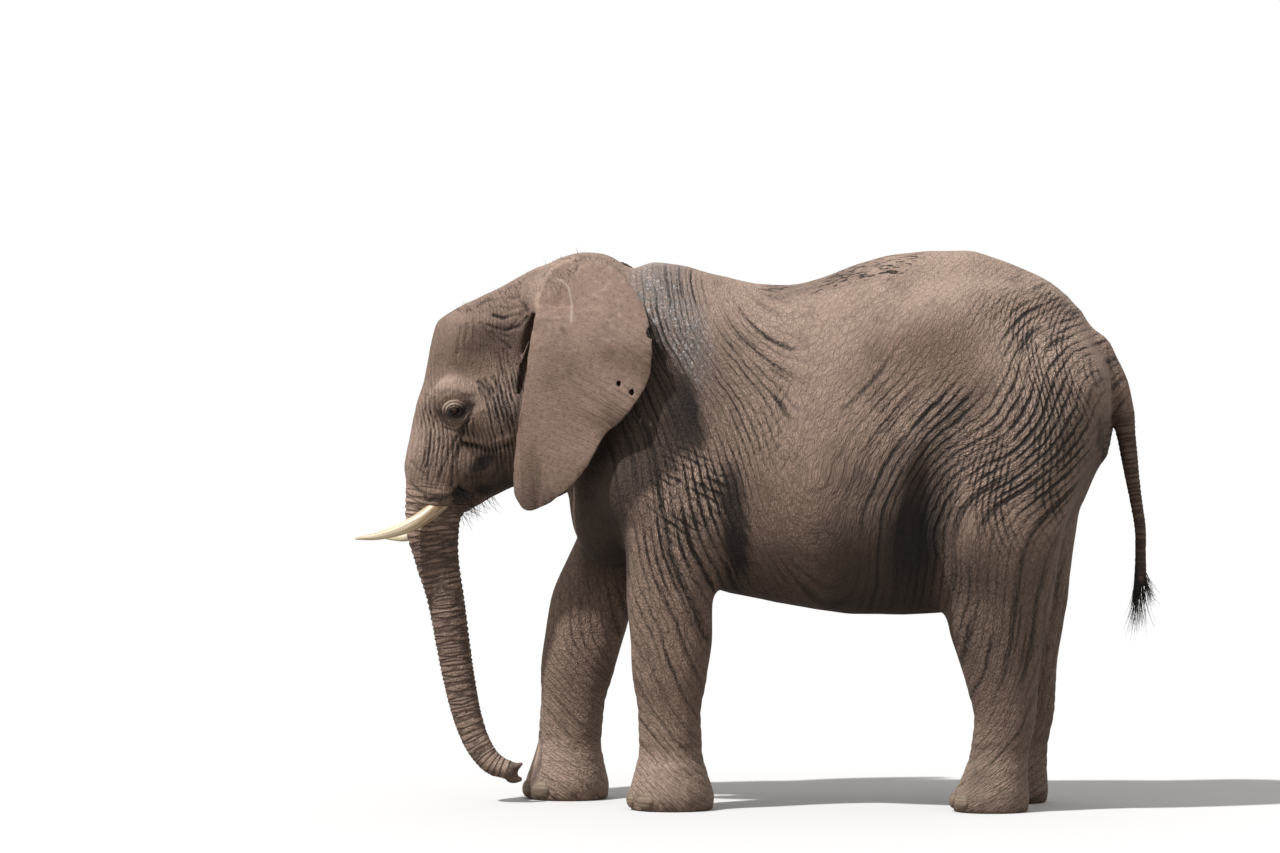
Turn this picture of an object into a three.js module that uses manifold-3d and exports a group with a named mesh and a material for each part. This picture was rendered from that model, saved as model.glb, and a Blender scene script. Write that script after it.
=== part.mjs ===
// A life-size African savanna elephant, an adult cow, standing with its right forefoot a step ahead.
// Millimetres, +Z up. The elephant faces -Y and its left side is +X. Until the last lines, Y = 0 is the
// middle of the back; there the group is moved so that the origin is the middle of the footprint.
//
// The flesh is one smooth field, negative inside, made of a barrel, four limbs, a neck, a head and a trunk
// that run into each other. Each part is meshed from that field and parted from the next by a thin cut.

import * as THREE from "three";
import { mergeVertices } from "three/addons/utils/BufferGeometryUtils.js";
import Module from "manifold-3d";

// Driving dimensions.

const GAP = 0.3; // clearance between neighbouring parts
// Size of the facets of each part along X, Y and Z.
const CELL = {
  torso: [146, 180, 146],
  neck: [105, 100, 125],
  head: [90, 90, 90],
  trunk: [46, 46, 76],
  leg: [90, 90, 125],
  tail: [34, 34, 84],
};

const FORE_STRIDE = { left: 0, right: -520 }; // how far each foot stands from its neutral place, along Y
const HIND_STRIDE = { left: 0, right: 60 };

const EYE = { y: -1351, z: 1790, radius: 20, proud: 7 }; // how far it stands out of the skin
const TUSK = {
  rootX: 140,
  tipX: 215,
  rootRadius: 34,
  tipRadius: 6,
  tips: { left: [-1808, 1204], right: [-1716, 1178] }, // Y and Z of each tip
};
const EAR = {
  frontX: 310, // how far out the sheet hangs at its front edge
  edgeX: 530, // and at its rear edge
  rootRadius: 16,
  rootThickness: 36,
  edgeThickness: 14,
  sunk: 30, // depth of the root in the head
  clear: 28, // least distance of the sheet from the skin
};
// Nails stand round the front of a foot: their number, the half-angle that they span and their size.
const NAILS = {
  fore: { count: 4, span: 0.98, width: 46, height: 40 },
  hind: { count: 3, span: 0.72, width: 44, height: 38 },
};

// Curves and fields.

// A smooth value through stations [t, value], level beyond the ends, with no overshoot.
function through(stations) {
  const t = stations.map((s) => s[0]);
  const v = stations.map((s) => s[1]);
  const last = t.length - 1;
  const slope = t.slice(0, last).map((_, i) => (v[i + 1] - v[i]) / (t[i + 1] - t[i]));
  const tangent = t.map((_, i) => {
    if (i === 0 || i === last) return 0;
    const [a, b] = [slope[i - 1], slope[i]];
    return a * b <= 0 ? 0 : (2 * a * b) / (a + b);
  });
  return (at) => {
    if (at <= t[0]) return v[0];
    if (at >= t[last]) return v[last];
    let i = 0;
    while (at > t[i + 1]) i++;
    const h = t[i + 1] - t[i];
    const s = (at - t[i]) / h;
    const rise = s * s * (3 - 2 * s);
    return (
      v[i] * (1 - rise) +
      v[i + 1] * rise +
      h * s * (1 - s) * ((1 - s) * tangent[i] - s * tangent[i + 1])
    );
  };
}

// Columns of a table of stations [t, a, b, ...], each as a smooth value of t.
function columns(table) {
  return table[0].slice(1).map((_, column) => through(table.map((row) => [row[0], row[column + 1]])));
}

// Two fields joined, or one carved out of the other, with a fillet about as wide as `soft`.
function joined(a, b, soft) {
  const h = Math.max(soft - Math.abs(a - b), 0) / soft;
  return Math.min(a, b) - (h * h * soft) / 4;
}
const carved = (a, b, soft) => -joined(-a, b, soft);

// An ellipsoid, tipped about X by `tip` radians.
function ellipsoid([cx, cy, cz], [rx, ry, rz], tip = 0) {
  const [c, s] = [Math.cos(tip), Math.sin(tip)];
  return (x, y, z) => {
    const dy = y - cy;
    const dz = z - cz;
    const q = [x - cx, c * dy + s * dz, c * dz - s * dy];
    const near = Math.hypot(q[0] / rx, q[1] / ry, q[2] / rz);
    const far = Math.hypot(q[0] / rx ** 2, q[1] / ry ** 2, q[2] / rz ** 2);
    return far < 1e-9 ? -Math.min(rx, ry, rz) : (near * (near - 1)) / far;
  };
}

// A body of superelliptic sections: u and v are the distances from the section's centre.
function section(u, v, a, b, power) {
  const reach = (Math.abs(u / a) ** power + Math.abs(v / b) ** power) ** (1 / power);
  return (reach - 1) * Math.min(a, b);
}

// A tube round a curve in the YZ plane, with half-depths and half-widths along it.
function tube(stations, power = 2) {
  const curve = new THREE.CatmullRomCurve3(stations.map(([y, z]) => new THREE.Vector3(0, y, z)));
  const steps = 40;
  const points = curve.getSpacedPoints(steps);
  const share = stations.map((_, i) => i / (stations.length - 1));
  const lengths = curve.getLengths(400);
  const arc = (u) => lengths[Math.round(u * 400)] / lengths[400];
  const [depth, width] = columns(stations.map((s, i) => [arc(share[i]), s[2], s[3]]));
  return (x, y, z) => {
    let best = Infinity;
    let along = 0;
    for (let i = 0; i < steps; i++) {
      const [p, q] = [points[i], points[i + 1]];
      const [dy, dz] = [q.y - p.y, q.z - p.z];
      const s = Math.min(1, Math.max(0, ((y - p.y) * dy + (z - p.z) * dz) / (dy * dy + dz * dz)));
      const away = Math.hypot(y - p.y - s * dy, z - p.z - s * dz);
      if (away < best) {
        best = away;
        along = (i + s) / steps;
      }
    }
    return section(x, best, width(along), depth(along), power);
  };
}

// The barrel of the body.

// Along Y: height of the back, height of the belly, half-width, height of the widest place.
const [backAt, bellyAt, ribsAt, widestAt] = columns([
  [-1040, 2380, 1580, 235, 1960],
  [-860, 2400, 1510, 275, 1930],
  [-700, 2410, 1370, 325, 1880],
  [-576, 2420, 1225, 372, 1820],
  [-473, 2447, 1140, 410, 1760],
  [-360, 2432, 1060, 440, 1700],
  [-180, 2390, 965, 496, 1620],
  [0, 2349, 928, 548, 1550],
  [110, 2340, 908, 574, 1520],
  [270, 2374, 882, 600, 1490],
  [450, 2442, 868, 617, 1480],
  [630, 2488, 866, 612, 1500],
  [800, 2501, 872, 574, 1560],
  [930, 2507, 900, 530, 1640],
  [1080, 2464, 985, 496, 1720],
  [1260, 2382, 1120, 460, 1790],
  [1440, 2243, 1340, 350, 1830],
  [1540, 2110, 1500, 270, 1830],
]);
const BARREL_ENDS = [-1010, 1585];

function barrel(x, y, z) {
  const rising = z > widestAt(y);
  const height = rising ? backAt(y) - widestAt(y) : widestAt(y) - bellyAt(y);
  const inside = section(x, z - widestAt(y), ribsAt(y), height, rising ? 1.85 : 2.15);
  return carved(carved(inside, y - BARREL_ENDS[0], 150), BARREL_ENDS[1] - y, 170);
}

// The limbs.

// Share of a foot's stride that is passed on at each height: all at the foot, none at the withers or hip.
const swing = through([
  [0, 1],
  [580, 0.89],
  [900, 0.765],
  [1057, 0.64],
  [1200, 0.5],
  [1450, 0.3],
  [1700, 0.13],
  [1950, 0],
]);

// Up each leg: Y of its centre, half-depth, X of its centre, half-width.
const foreleg = columns([
  [0, -375, 186, 262, 176],
  [55, -376, 192, 262, 182],
  [150, -378, 170, 262, 165],
  [270, -380, 144, 262, 139],
  [430, -384, 145, 264, 138],
  [590, -382, 168, 266, 150],
  [760, -377, 184, 268, 154],
  [930, -382, 194, 272, 163],
  [1080, -372, 207, 278, 174],
  [1250, -352, 236, 286, 186],
  [1450, -336, 274, 290, 196],
  [1700, -334, 268, 262, 192],
  [1950, -356, 215, 205, 172],
  [2180, -392, 150, 130, 130],
]);
const hindleg = columns([
  [0, 1056, 168, 245, 146],
  [55, 1057, 174, 245, 151],
  [150, 1074, 152, 246, 136],
  [270, 1096, 134, 248, 121],
  [430, 1118, 143, 252, 124],
  [570, 1108, 163, 258, 136],
  [700, 1096, 190, 266, 154],
  [830, 1090, 221, 276, 176],
  [930, 1094, 238, 286, 190],
  [1100, 1113, 244, 314, 220],
  [1280, 1136, 258, 334, 238],
  [1480, 1165, 292, 348, 246],
  [1700, 1188, 334, 346, 250],
  [1900, 1200, 366, 312, 250],
  [2080, 1150, 346, 258, 230],
  [2260, 1062, 272, 175, 180],
]);
const LEG_TOP = { fore: 2240, hind: 2330 };

function limb([yAt, depthAt, xAt, widthAt], stride, side, top, x, y, z) {
  const away = section(
    x - side * xAt(z),
    y - yAt(z) - stride * swing(z),
    widthAt(z),
    depthAt(z),
    z < 300 ? 2.1 : 2.3,
  );
  return carved(away, top - z, 120);
}

const SIDES = { left: 1, right: -1 };

// The head and trunk.

// Up the head: Y of its front, Y of its back, half-width.
const head = columns([
  [1400, -1575, -1190, 150],
  [1500, -1592, -1090, 196],
  [1600, -1574, -1000, 228],
  [1700, -1556, -930, 256],
  [1800, -1538, -880, 276],
  [1900, -1519, -830, 272],
  [2000, -1500, -790, 266],
  [2100, -1478, -750, 270],
  [2165, -1460, -730, 268],
  [2220, -1392, -700, 258],
  [2280, -1276, -680, 240],
  [2340, -1150, -660, 210],
  [2400, -1042, -640, 170],
  [2450, -930, -640, 125],
]);
const HEAD_TOP = 2486;
const HEAD_BOTTOM = 1470;
const HEAD_TAPER = 0.2; // the face is narrower than the back of the head

function skull(x, y, z) {
  const [front, back, width] = head.map((f) => f(z));
  const fromMiddle = (2 * y - front - back) / (back - front);
  const half = width * (1 + HEAD_TAPER * Math.max(-1, Math.min(1, fromMiddle)));
  const away = section(x, y - (front + back) / 2, half, (back - front) / 2, 2.5);
  return carved(carved(away, HEAD_TOP - z, 130), z - HEAD_BOTTOM, 90);
}

// Down the trunk: Y, Z, half-depth, half-width.
const trunk = tube([
  [-1420, 1760, 120, 160],
  [-1436, 1620, 132, 172],
  [-1457, 1480, 136, 160],
  [-1474, 1350, 132, 140],
  [-1478, 1235, 123, 124],
  [-1460, 1103, 103, 106],
  [-1420, 923, 87, 90],
  [-1391, 743, 81, 82],
  [-1360, 560, 75, 75],
  [-1322, 390, 68, 68],
  [-1272, 260, 61, 61],
  [-1205, 176, 54, 54],
  [-1135, 148, 46, 47],
]);

// Masses joined to both sides of the head, [centre, radii, tip, fillet], and hollows taken from it.
const headMasses = [
  [[232, -1345, 1838], [72, 120, 92], 0, 60], // brow and orbit
  [[222, -1130, 1800], [72, 210, 120], 0.35, 100], // cheekbone
  [[132, -1440, 1520], [84, 100, 165], 0.1, 60], // tusk sheath
  [[140, -1440, 1400], [62, 60, 60], 0.4, 40], // lip round the tusk
  [[112, -1262, 2060], [130, 165, 140], 0.3, 90], // dome of the forehead
];
const headHollows = [
  [[322, -1190, 1990], [64, 120, 130], 0.2, 110], // temple
  [[266, -1000, 2120], [70, 30, 115], -0.2, 30], // slit in front of the ear
  [[300, -1262, 1560], [92, 92, 120], 0, 60], // between cheek and tusk sheath
];
const jaw = [
  ellipsoid([0, -1095, 1582], [190, 190, 136], 0.35),
  ellipsoid([0, -1215, 1466], [118, 150, 80], 0.55),
  ellipsoid([0, -1310, 1372], [58, 66, 40], 0.7), // lower lip
];

// The tail.

const tail = tube([
  [1500, 2030, 90, 90],
  [1590, 1900, 74, 80],
  [1634, 1780, 52, 56],
  [1647, 1680, 45, 46],
  [1660, 1590, 41, 41],
  [1676, 1480, 35, 35],
  [1694, 1370, 30, 30],
  [1712, 1250, 28, 28],
  [1713, 1150, 27, 27],
  [1713, 1060, 29, 30],
  [1712, 1010, 26, 27],
]);

// The whole field.

const bodyMasses = [
  [[368, 915, 2120], [140, 215, 190], 0, 160], // point of the hip
  [[300, -400, 1900], [130, 200, 330], 0, 130], // shoulder blade
  [[285, -560, 1470], [160, 150, 180], 0, 110], // point of the shoulder
  [[235, 1370, 1780], [190, 158, 240], 0.1, 100], // buttock
  [[0, 1430, 2040], [110, 145, 125], 0, 50], // root of the tail
  [[372, 1000, 1360], [200, 130, 330], -0.1, 70], // front of the thigh
];
const bodyHollows = [
  [[660, 700, 1960], [100, 150, 230], 0.5, 170], // flank, below the spine
  [[640, 815, 1440], [120, 100, 420], -0.2, 90], // flank, in front of the thigh
];
const breast = ellipsoid([0, -690, 1330], [235, 165, 255], 0.1);
const throat = ellipsoid([0, -920, 1610], [205, 230, 135], 0.1);

const leftOf = (list) => list.map(([centre, radii, tip, soft]) => [ellipsoid(centre, radii, tip), soft]);
const massesOn = { head: leftOf(headMasses), body: leftOf(bodyMasses) };
const hollowsOn = { head: leftOf(headHollows), body: leftOf(bodyHollows) };

function shaped(field, masses, hollows, x, y, z) {
  let value = field;
  for (const [form, soft] of masses) value = joined(value, form(Math.abs(x), y, z), soft);
  for (const [form, soft] of hollows) value = carved(value, form(Math.abs(x), y, z), soft);
  return value;
}

function headField(x, y, z) {
  let value = shaped(skull(x, y, z), massesOn.head, hollowsOn.head, x, y, z);
  for (const form of jaw) value = joined(value, form(x, y, z), 55);
  return value;
}

function bodyField(x, y, z) {
  let value = shaped(barrel(x, y, z), massesOn.body, hollowsOn.body, x, y, z);
  value = joined(value, breast(x, y, z), 150);
  for (const [name, side] of Object.entries(SIDES)) {
    value = joined(value, limb(foreleg, FORE_STRIDE[name], side, LEG_TOP.fore, x, y, z), 95);
    value = joined(value, limb(hindleg, HIND_STRIDE[name], side, LEG_TOP.hind, x, y, z), 105);
  }
  value = joined(value, throat(x, y, z), 120);
  value = joined(value, tail(x, y, z), 32);
  return value;
}
const faceField = (x, y, z) => joined(headField(x, y, z), trunk(x, y, z), 60);
const flesh = (x, y, z) => joined(bodyField(x, y, z), faceField(x, y, z), 90);

// Meshing a field.

// Moves a point onto the surface where the field is zero.
function settle(field, p) {
  const e = 2;
  for (let turn = 0; turn < 5; turn++) {
    const value = field(...p);
    const slope = [0, 1, 2].map((axis) => {
      const [up, down] = [p.slice(), p.slice()];
      up[axis] += e;
      down[axis] -= e;
      return (field(...up) - field(...down)) / (2 * e);
    });
    const square = slope.reduce((sum, s) => sum + s * s, 0);
    if (square < 1e-6) return p;
    const step = Math.max(-20, Math.min(20, value / Math.sqrt(square))) / Math.sqrt(square);
    p = p.map((c, axis) => c - step * slope[axis]);
  }
  return p;
}

// Surface nets: one vertex for each cell that the surface crosses, one quad for each grid edge across it.
function surfaceOf(field, low, high, cell) {
  const count = low.map((l, axis) => Math.ceil((high[axis] - l) / cell[axis]) + 1);
  const stride = [1, count[0], count[0] * count[1]];
  const at = (...place) => low.map((l, axis) => l + place[axis] * cell[axis]);
  const value = new Float64Array(count[0] * count[1] * count[2]);
  for (let k = 0; k < count[2]; k++)
    for (let j = 0; j < count[1]; j++)
      for (let i = 0; i < count[0]; i++) {
        const rim = [i, j, k].some((c, axis) => c === 0 || c === count[axis] - 1);
        const here = field(...at(i, j, k));
        value[i + j * stride[1] + k * stride[2]] = rim ? Math.max(here, 5) : here;
      }

  const corners = [0, 1, 2, 3, 4, 5, 6, 7].map((c) => [c & 1, (c >> 1) & 1, c >> 2]);
  const edges = [];
  corners.forEach((a, m) =>
    corners.forEach((b, n) => {
      if (n > m && a.filter((c, axis) => c !== b[axis]).length === 1) edges.push([a, b]);
    }),
  );
  const vertexOf = new Map();
  const places = [];
  const triangles = [];
  for (let k = 0; k < count[2] - 1; k++)
    for (let j = 0; j < count[1] - 1; j++)
      for (let i = 0; i < count[0] - 1; i++) {
        const base = i + j * stride[1] + k * stride[2];
        const valueAt = (c) => value[base + c[0] + c[1] * stride[1] + c[2] * stride[2]];
        const sum = [0, 0, 0];
        let crossings = 0;
        for (const [a, b] of edges) {
          const [va, vb] = [valueAt(a), valueAt(b)];
          if (va < 0 === vb < 0) continue;
          const t = va / (va - vb);
          sum.forEach((_, axis) => (sum[axis] += a[axis] + t * (b[axis] - a[axis])));
          crossings++;
        }
        if (!crossings) continue;
        vertexOf.set(base, places.length);
        places.push(sum.map((s, axis) => low[axis] + ([i, j, k][axis] + s / crossings) * cell[axis]));
      }
  for (let k = 0; k < count[2] - 1; k++)
    for (let j = 0; j < count[1] - 1; j++)
      for (let i = 0; i < count[0] - 1; i++) {
        const here = i + j * stride[1] + k * stride[2];
        const inside = value[here] < 0;
        for (let axis = 0; axis < 3; axis++) {
          if (inside === value[here + stride[axis]] < 0) continue;
          const [u, v] = [stride[(axis + 1) % 3], stride[(axis + 2) % 3]];
          const ring = [here, here - u, here - u - v, here - v].map((c) => vertexOf.get(c));
          if (!inside) ring.reverse();
          triangles.push(ring[0], ring[1], ring[2], ring[0], ring[2], ring[3]);
        }
      }
  const geometry = new THREE.BufferGeometry();
  const settled = places.map((p) => settle(field, p)).flat();
  geometry.setAttribute("position", new THREE.Float32BufferAttribute(settled, 3));
  geometry.setIndex(triangles);
  return geometry;
}

// Solids.

const wasm = await Module();
wasm.setup();

function solid(geometry) {
  const bare = new THREE.BufferGeometry();
  bare.setAttribute("position", geometry.getAttribute("position"));
  bare.setIndex(geometry.getIndex());
  const merged = mergeVertices(bare, 1e-3);
  return new wasm.Manifold(
    new wasm.Mesh({
      numProp: 3,
      vertProperties: merged.getAttribute("position").array,
      triVerts: new Uint32Array(merged.getIndex().array),
    }),
  );
}

// A closed skin over rings of points, each ring listed the same way round, with a point at each end.
function loft(rings, first, last) {
  const sides = rings[0].length;
  const places = [...rings.flat(), first, last];
  const triangles = [];
  for (let r = 0; r < rings.length - 1; r++)
    for (let s = 0; s < sides; s++) {
      const [a, b] = [r * sides + s, r * sides + ((s + 1) % sides)];
      triangles.push(a, b, b + sides, a, b + sides, a + sides);
    }
  const [start, end] = [places.length - 2, places.length - 1];
  for (let s = 0; s < sides; s++) {
    triangles.push(start, (s + 1) % sides, s);
    const a = (rings.length - 1) * sides;
    triangles.push(end, a + s, a + ((s + 1) % sides));
  }
  const geometry = new THREE.BufferGeometry().setFromPoints(places);
  geometry.setIndex(triangles);
  return geometry;
}

// A prism along X, from its outline [y, z].
function prism(xLow, xHigh, outline) {
  const shape = new THREE.Shape(outline.map(([y, z]) => new THREE.Vector2(y, z)));
  const form = new THREE.ExtrudeGeometry(shape, { depth: xHigh - xLow, bevelEnabled: false, steps: 1 });
  const axes = [new THREE.Vector3(0, 1, 0), new THREE.Vector3(0, 0, 1), new THREE.Vector3(1, 0, 0)];
  form.applyMatrix4(new THREE.Matrix4().makeBasis(...axes));
  return form.translate(xLow, 0, 0);
}

// Ears, tusks, eyes, toenails.

// Margin of the ear seen from its side, [y, z], over the top, down the back and up the front.
const earMargin = new THREE.CatmullRomCurve3(
  [
    [-965, 2310],
    [-935, 2392],
    [-860, 2446],
    [-730, 2452],
    [-610, 2418],
    [-505, 2300],
    [-450, 2180],
    [-436, 2040],
    [-470, 1905],
    [-560, 1770],
    [-650, 1690],
    [-735, 1540],
    [-850, 1420],
    [-960, 1350],
    [-1030, 1338],
    [-1080, 1400],
    [-1082, 1560],
    [-1052, 1770],
    [-1024, 1950],
    [-1002, 2110],
    [-985, 2220],
  ].map(([y, z]) => new THREE.Vector3(0, y, z)),
  true,
  "centripetal",
);
// The ear is rooted behind the cheek along this line.
const earRoot = new THREE.Line3(new THREE.Vector3(0, -893, 2290), new THREE.Vector3(0, -915, 1985));

// Where the skin of the left side is, going in from outside at a height and a place along the body.
function skinAt(y, z) {
  let x = 620;
  for (let turn = 0; turn < 40; turn++) {
    const away = flesh(x, y, z);
    if (away < 1) break;
    x -= Math.min(40, away * 0.8);
    if (x < 0) return 0;
  }
  return x;
}

// Where the ear's sheet hangs, off the head in front and lying back on the neck, and how thick its root is
// behind it, down into the head.
function earReach({ y, z }, fromRoot) {
  const back = THREE.MathUtils.clamp((y + 1080) / 560, 0, 1);
  const high = THREE.MathUtils.clamp((z - 2060) / 400, 0, 1);
  const low = THREE.MathUtils.clamp((1800 - z) / 480, 0, 1);
  const lean = 260 * high ** 1.6 + 50 * low;
  const hang = EAR.frontX + (EAR.edgeX - EAR.frontX) * Math.sin((back * Math.PI) / 2) - lean;
  const skin = skinAt(y, z);
  const reach = Math.max(skin + EAR.clear, hang);
  const rooted = 1 - THREE.MathUtils.smoothstep(fromRoot, 10, 90);
  return [reach, rooted * (reach - skin + EAR.sunk)];
}

// Loops of points go out from the root to the margin over the outer face and come back under the inner one.
// `extra` makes the ear larger all round, and open to the outside, for the slot that its root sits in.
function ear(side, extra = 0) {
  const turns = 25;
  const steps = 3;
  const open = extra ? 2 * EAR.sunk : 0;
  const [outer, inner] = [[], []];
  for (let j = 0; j <= steps; j++) {
    const out = j / steps;
    const thick = THREE.MathUtils.lerp(EAR.rootThickness, EAR.edgeThickness, out) / 2 + 2 * extra;
    const loop = Array.from({ length: turns }, (_, i) => {
      const margin = earMargin.getPointAt(i / turns);
      const root = earRoot.closestPointToPoint(margin, true, new THREE.Vector3());
      const away = margin.clone().sub(root);
      const fromRoot = THREE.MathUtils.lerp(EAR.rootRadius, away.length(), out);
      const p = root.addScaledVector(away.normalize(), fromRoot);
      const [reach, rooted] = earReach(p, fromRoot);
      return [p.addScaledVector(away, j === steps ? extra : 0).setX(reach), rooted];
    });
    outer.push(loop.map(([p]) => new THREE.Vector3(side * (p.x + thick + open), p.y, p.z)));
    inner.push(loop.map(([p, rooted]) => new THREE.Vector3(side * (p.x - thick - rooted), p.y, p.z)));
  }
  const rings = [...outer, ...inner.reverse()];
  if (side < 0) rings.reverse();
  const middle = (ring) => ring.reduce((sum, p) => sum.add(p), new THREE.Vector3()).divideScalar(ring.length);
  return loft(rings, middle(rings[0]), middle(rings[rings.length - 1]));
}

function tusk(side, extra = 0) {
  const [tipY, tipZ] = side > 0 ? TUSK.tips.left : TUSK.tips.right;
  const curve = new THREE.CatmullRomCurve3(
    [
      [TUSK.rootX - 10, -1376, 1424],
      [TUSK.rootX, -1420, 1366],
      [TUSK.rootX + 26, -1548, 1270],
      [TUSK.tipX - 18, tipY + 110, tipZ + 13],
      [TUSK.tipX, tipY, tipZ],
    ].map(([x, y, z]) => new THREE.Vector3(side * x, y, z)),
  );
  const rings = [];
  const steps = 7;
  const sides = 8;
  for (let i = 0; i <= steps; i++) {
    const t = i / steps;
    const narrowed = Math.max(0, (t - 0.25) / 0.75) ** 1.7;
    const radius = THREE.MathUtils.lerp(TUSK.rootRadius, TUSK.tipRadius, narrowed) + extra;
    const along = curve.getTangentAt(t);
    const across = new THREE.Vector3(0, 0, 1).cross(along).normalize();
    const up = along.clone().cross(across);
    const middle = curve.getPointAt(t).addScaledVector(along, i === 0 ? -extra : 0);
    rings.push(
      Array.from({ length: sides }, (_, s) => {
        const turn = (s / sides) * 2 * Math.PI;
        return middle
          .clone()
          .addScaledVector(across, radius * Math.cos(turn))
          .addScaledVector(up, radius * Math.sin(turn));
      }),
    );
  }
  const tip = curve.getPoint(1).addScaledVector(curve.getTangent(1), TUSK.tipRadius * 1.1);
  return loft(rings, curve.getPoint(0).addScaledVector(curve.getTangent(0), -extra), tip);
}

function eye(side, extra = 0) {
  const x = skinAt(EYE.y, EYE.z) - EYE.radius + EYE.proud;
  return new THREE.SphereGeometry(EYE.radius + extra, 8, 6).translate(side * x, EYE.y, EYE.z);
}

// A nail is an ellipsoid set into the rim of the foot.
function nail(kind, legColumns, stride, side, index, extra = 0) {
  const { count, span, width, height } = NAILS[kind];
  const [yAt, depthAt, xAt, widthAt] = legColumns;
  const z = 50;
  const turn = -span + (2 * span * index) / (count - 1);
  const form = new THREE.SphereGeometry(1, 6, 5);
  form.scale(width + extra, 24 + extra, height + extra);
  form.rotateX(-0.12);
  form.rotateZ(side * turn);
  form.translate(
    side * xAt(z) + (widthAt(z) - 10) * Math.sin(turn),
    yAt(z) + stride - (depthAt(z) - 10) * Math.cos(turn),
    z,
  );
  return form;
}

// Cutting the flesh into parts.

const elephant = new THREE.Group();
const HIDE = { color: 0x7a6a60, roughness: 0.9, metalness: 0 };
const IVORY = { color: 0xe6d8b8, roughness: 0.45, metalness: 0 };
const HORN = { color: 0x9a8a74, roughness: 0.6, metalness: 0 };
const IRIS = { color: 0x2a1a10, roughness: 0.15, metalness: 0 };

function node(name, made, look) {
  const { numProp, vertProperties, triVerts } = made.getMesh();
  const geometry = new THREE.BufferGeometry();
  const positions = new THREE.BufferAttribute(new Float32Array(vertProperties), numProp);
  geometry.setAttribute("position", positions);
  geometry.setIndex(new THREE.BufferAttribute(new Uint32Array(triVerts), 1));
  geometry.computeVertexNormals();
  const mesh = new THREE.Mesh(geometry, new THREE.MeshStandardMaterial(look));
  mesh.name = name;
  elephant.add(mesh);
}

// Tusks, eyes, ears and nails sit in sockets of their own shape in the flesh.
const headSockets = [];
for (const [name, side] of Object.entries(SIDES)) {
  node("tusk_" + name, solid(tusk(side)), IVORY);
  node("eye_" + name, solid(eye(side)), IRIS);
  node("ear_" + name, solid(ear(side)), HIDE);
  headSockets.push(solid(tusk(side, GAP)), solid(eye(side, GAP)), solid(ear(side, GAP)));
}

// Everything ahead of a bent line of [y, z], or between a line and the floor, moved out by `move`.
const aheadOf = (...line) => (move) => {
  const outline = line.map(([y, z]) => [y + move, z - move]);
  return solid(prism(-900, 900, [[-3000, outline[0][1]], ...outline, [-3000, 2800]]));
};
const under = ([y0, z0], [y1, z1], xLow, xHigh) => (move) => {
  const [front, back] = [y0 - move, y1 + move];
  return solid(prism(xLow, xHigh, [[front, 0], [back, 0], [back, z1 + move], [front, z0 + move]]));
};

const headPlane = aheadOf([-985, 900], [-745, 2700]);
const neckPlane = aheadOf([-1300, 1160], [-900, 1290], [-745, 1450], [-500, 2700]);
const trunkPlane = under([-1760, 1276], [-1000, 1300], -300, 300);
const trunkMiddle = under([-1700, 880], [-1000, 990], -300, 300);
const trunkTip = under([-1700, 380], [-1000, 560], -300, 300);
const tailPlane = under([1585, 1700], [1900, 1700], -150, 150);
const jawPlane = under([-1352, 1352], [-985, 1530], -300, 300);
const LEG_CUTS = {
  fore: [[-1320, 950], [-130, 945]],
  hind: [[780, 845], [1700, 1180]],
};
const [HERE, THERE] = [-GAP / 2, GAP / 2];

const trunkWhole = solid(surfaceOf(faceField, [-230, -1720, 60], [230, -1040, 1420], CELL.trunk));
node("trunk_upper", trunkWhole.intersect(trunkPlane(HERE)).subtract(trunkMiddle(THERE)), HIDE);
node("trunk_middle", trunkWhole.intersect(trunkMiddle(HERE)).subtract(trunkTip(THERE)), HIDE);
node("trunk_tip", trunkWhole.intersect(trunkTip(HERE)), HIDE);

let headWhole = solid(surfaceOf(flesh, [-460, -1760, 1150], [460, -560, 2560], CELL.head))
  .intersect(headPlane(HERE))
  .subtract(trunkPlane(THERE));
for (const socket of headSockets) headWhole = headWhole.subtract(socket);
node("head", headWhole.subtract(jawPlane(THERE)), HIDE);
node("jaw", headWhole.intersect(jawPlane(HERE)), HIDE);

const neckWhole = solid(surfaceOf(flesh, [-560, -1300, 960], [560, -300, 2560], CELL.neck));
node("neck", neckWhole.intersect(neckPlane(HERE)).subtract(headPlane(THERE)), HIDE);

const tailWhole = solid(surfaceOf(tail, [-120, 1440, 960], [120, 1860, 2160], CELL.tail));
node("tail", tailWhole.intersect(tailPlane(HERE)), HIDE);

let torso = solid(surfaceOf(flesh, [-800, -1100, 700], [800, 1800, 2650], CELL.torso))
  .add(tailWhole)
  .subtract(neckPlane(THERE))
  .subtract(tailPlane(THERE));

for (const [name, side] of Object.entries(SIDES)) {
  const [low, high] = side > 0 ? [0, 800] : [-800, 0];
  const legs = [
    ["fore", foreleg, FORE_STRIDE[name]],
    ["hind", hindleg, HIND_STRIDE[name]],
  ];
  for (const [kind, form, stride] of legs) {
    const plane = under(...LEG_CUTS[kind], low, high);
    const start = kind === "fore" ? -1320 : 780;
    let leg = solid(
      surfaceOf(
        bodyField,
        [side > 0 ? 10 : -640, start, -1.5 * CELL.leg[2]],
        [side > 0 ? 640 : -10, start + 1260, 1330],
        CELL.leg,
      ),
    ).intersect(plane(HERE));
    for (let i = 0; i < NAILS[kind].count; i++) {
      node(kind + "_nail_" + name + "_" + (i + 1), solid(nail(kind, form, stride, side, i)), HORN);
      leg = leg.subtract(solid(nail(kind, form, stride, side, i, GAP)));
    }
    node(kind + "leg_" + name, leg, HIDE);
    torso = torso.subtract(plane(THERE));
  }
}
node("torso", torso, HIDE);

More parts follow.
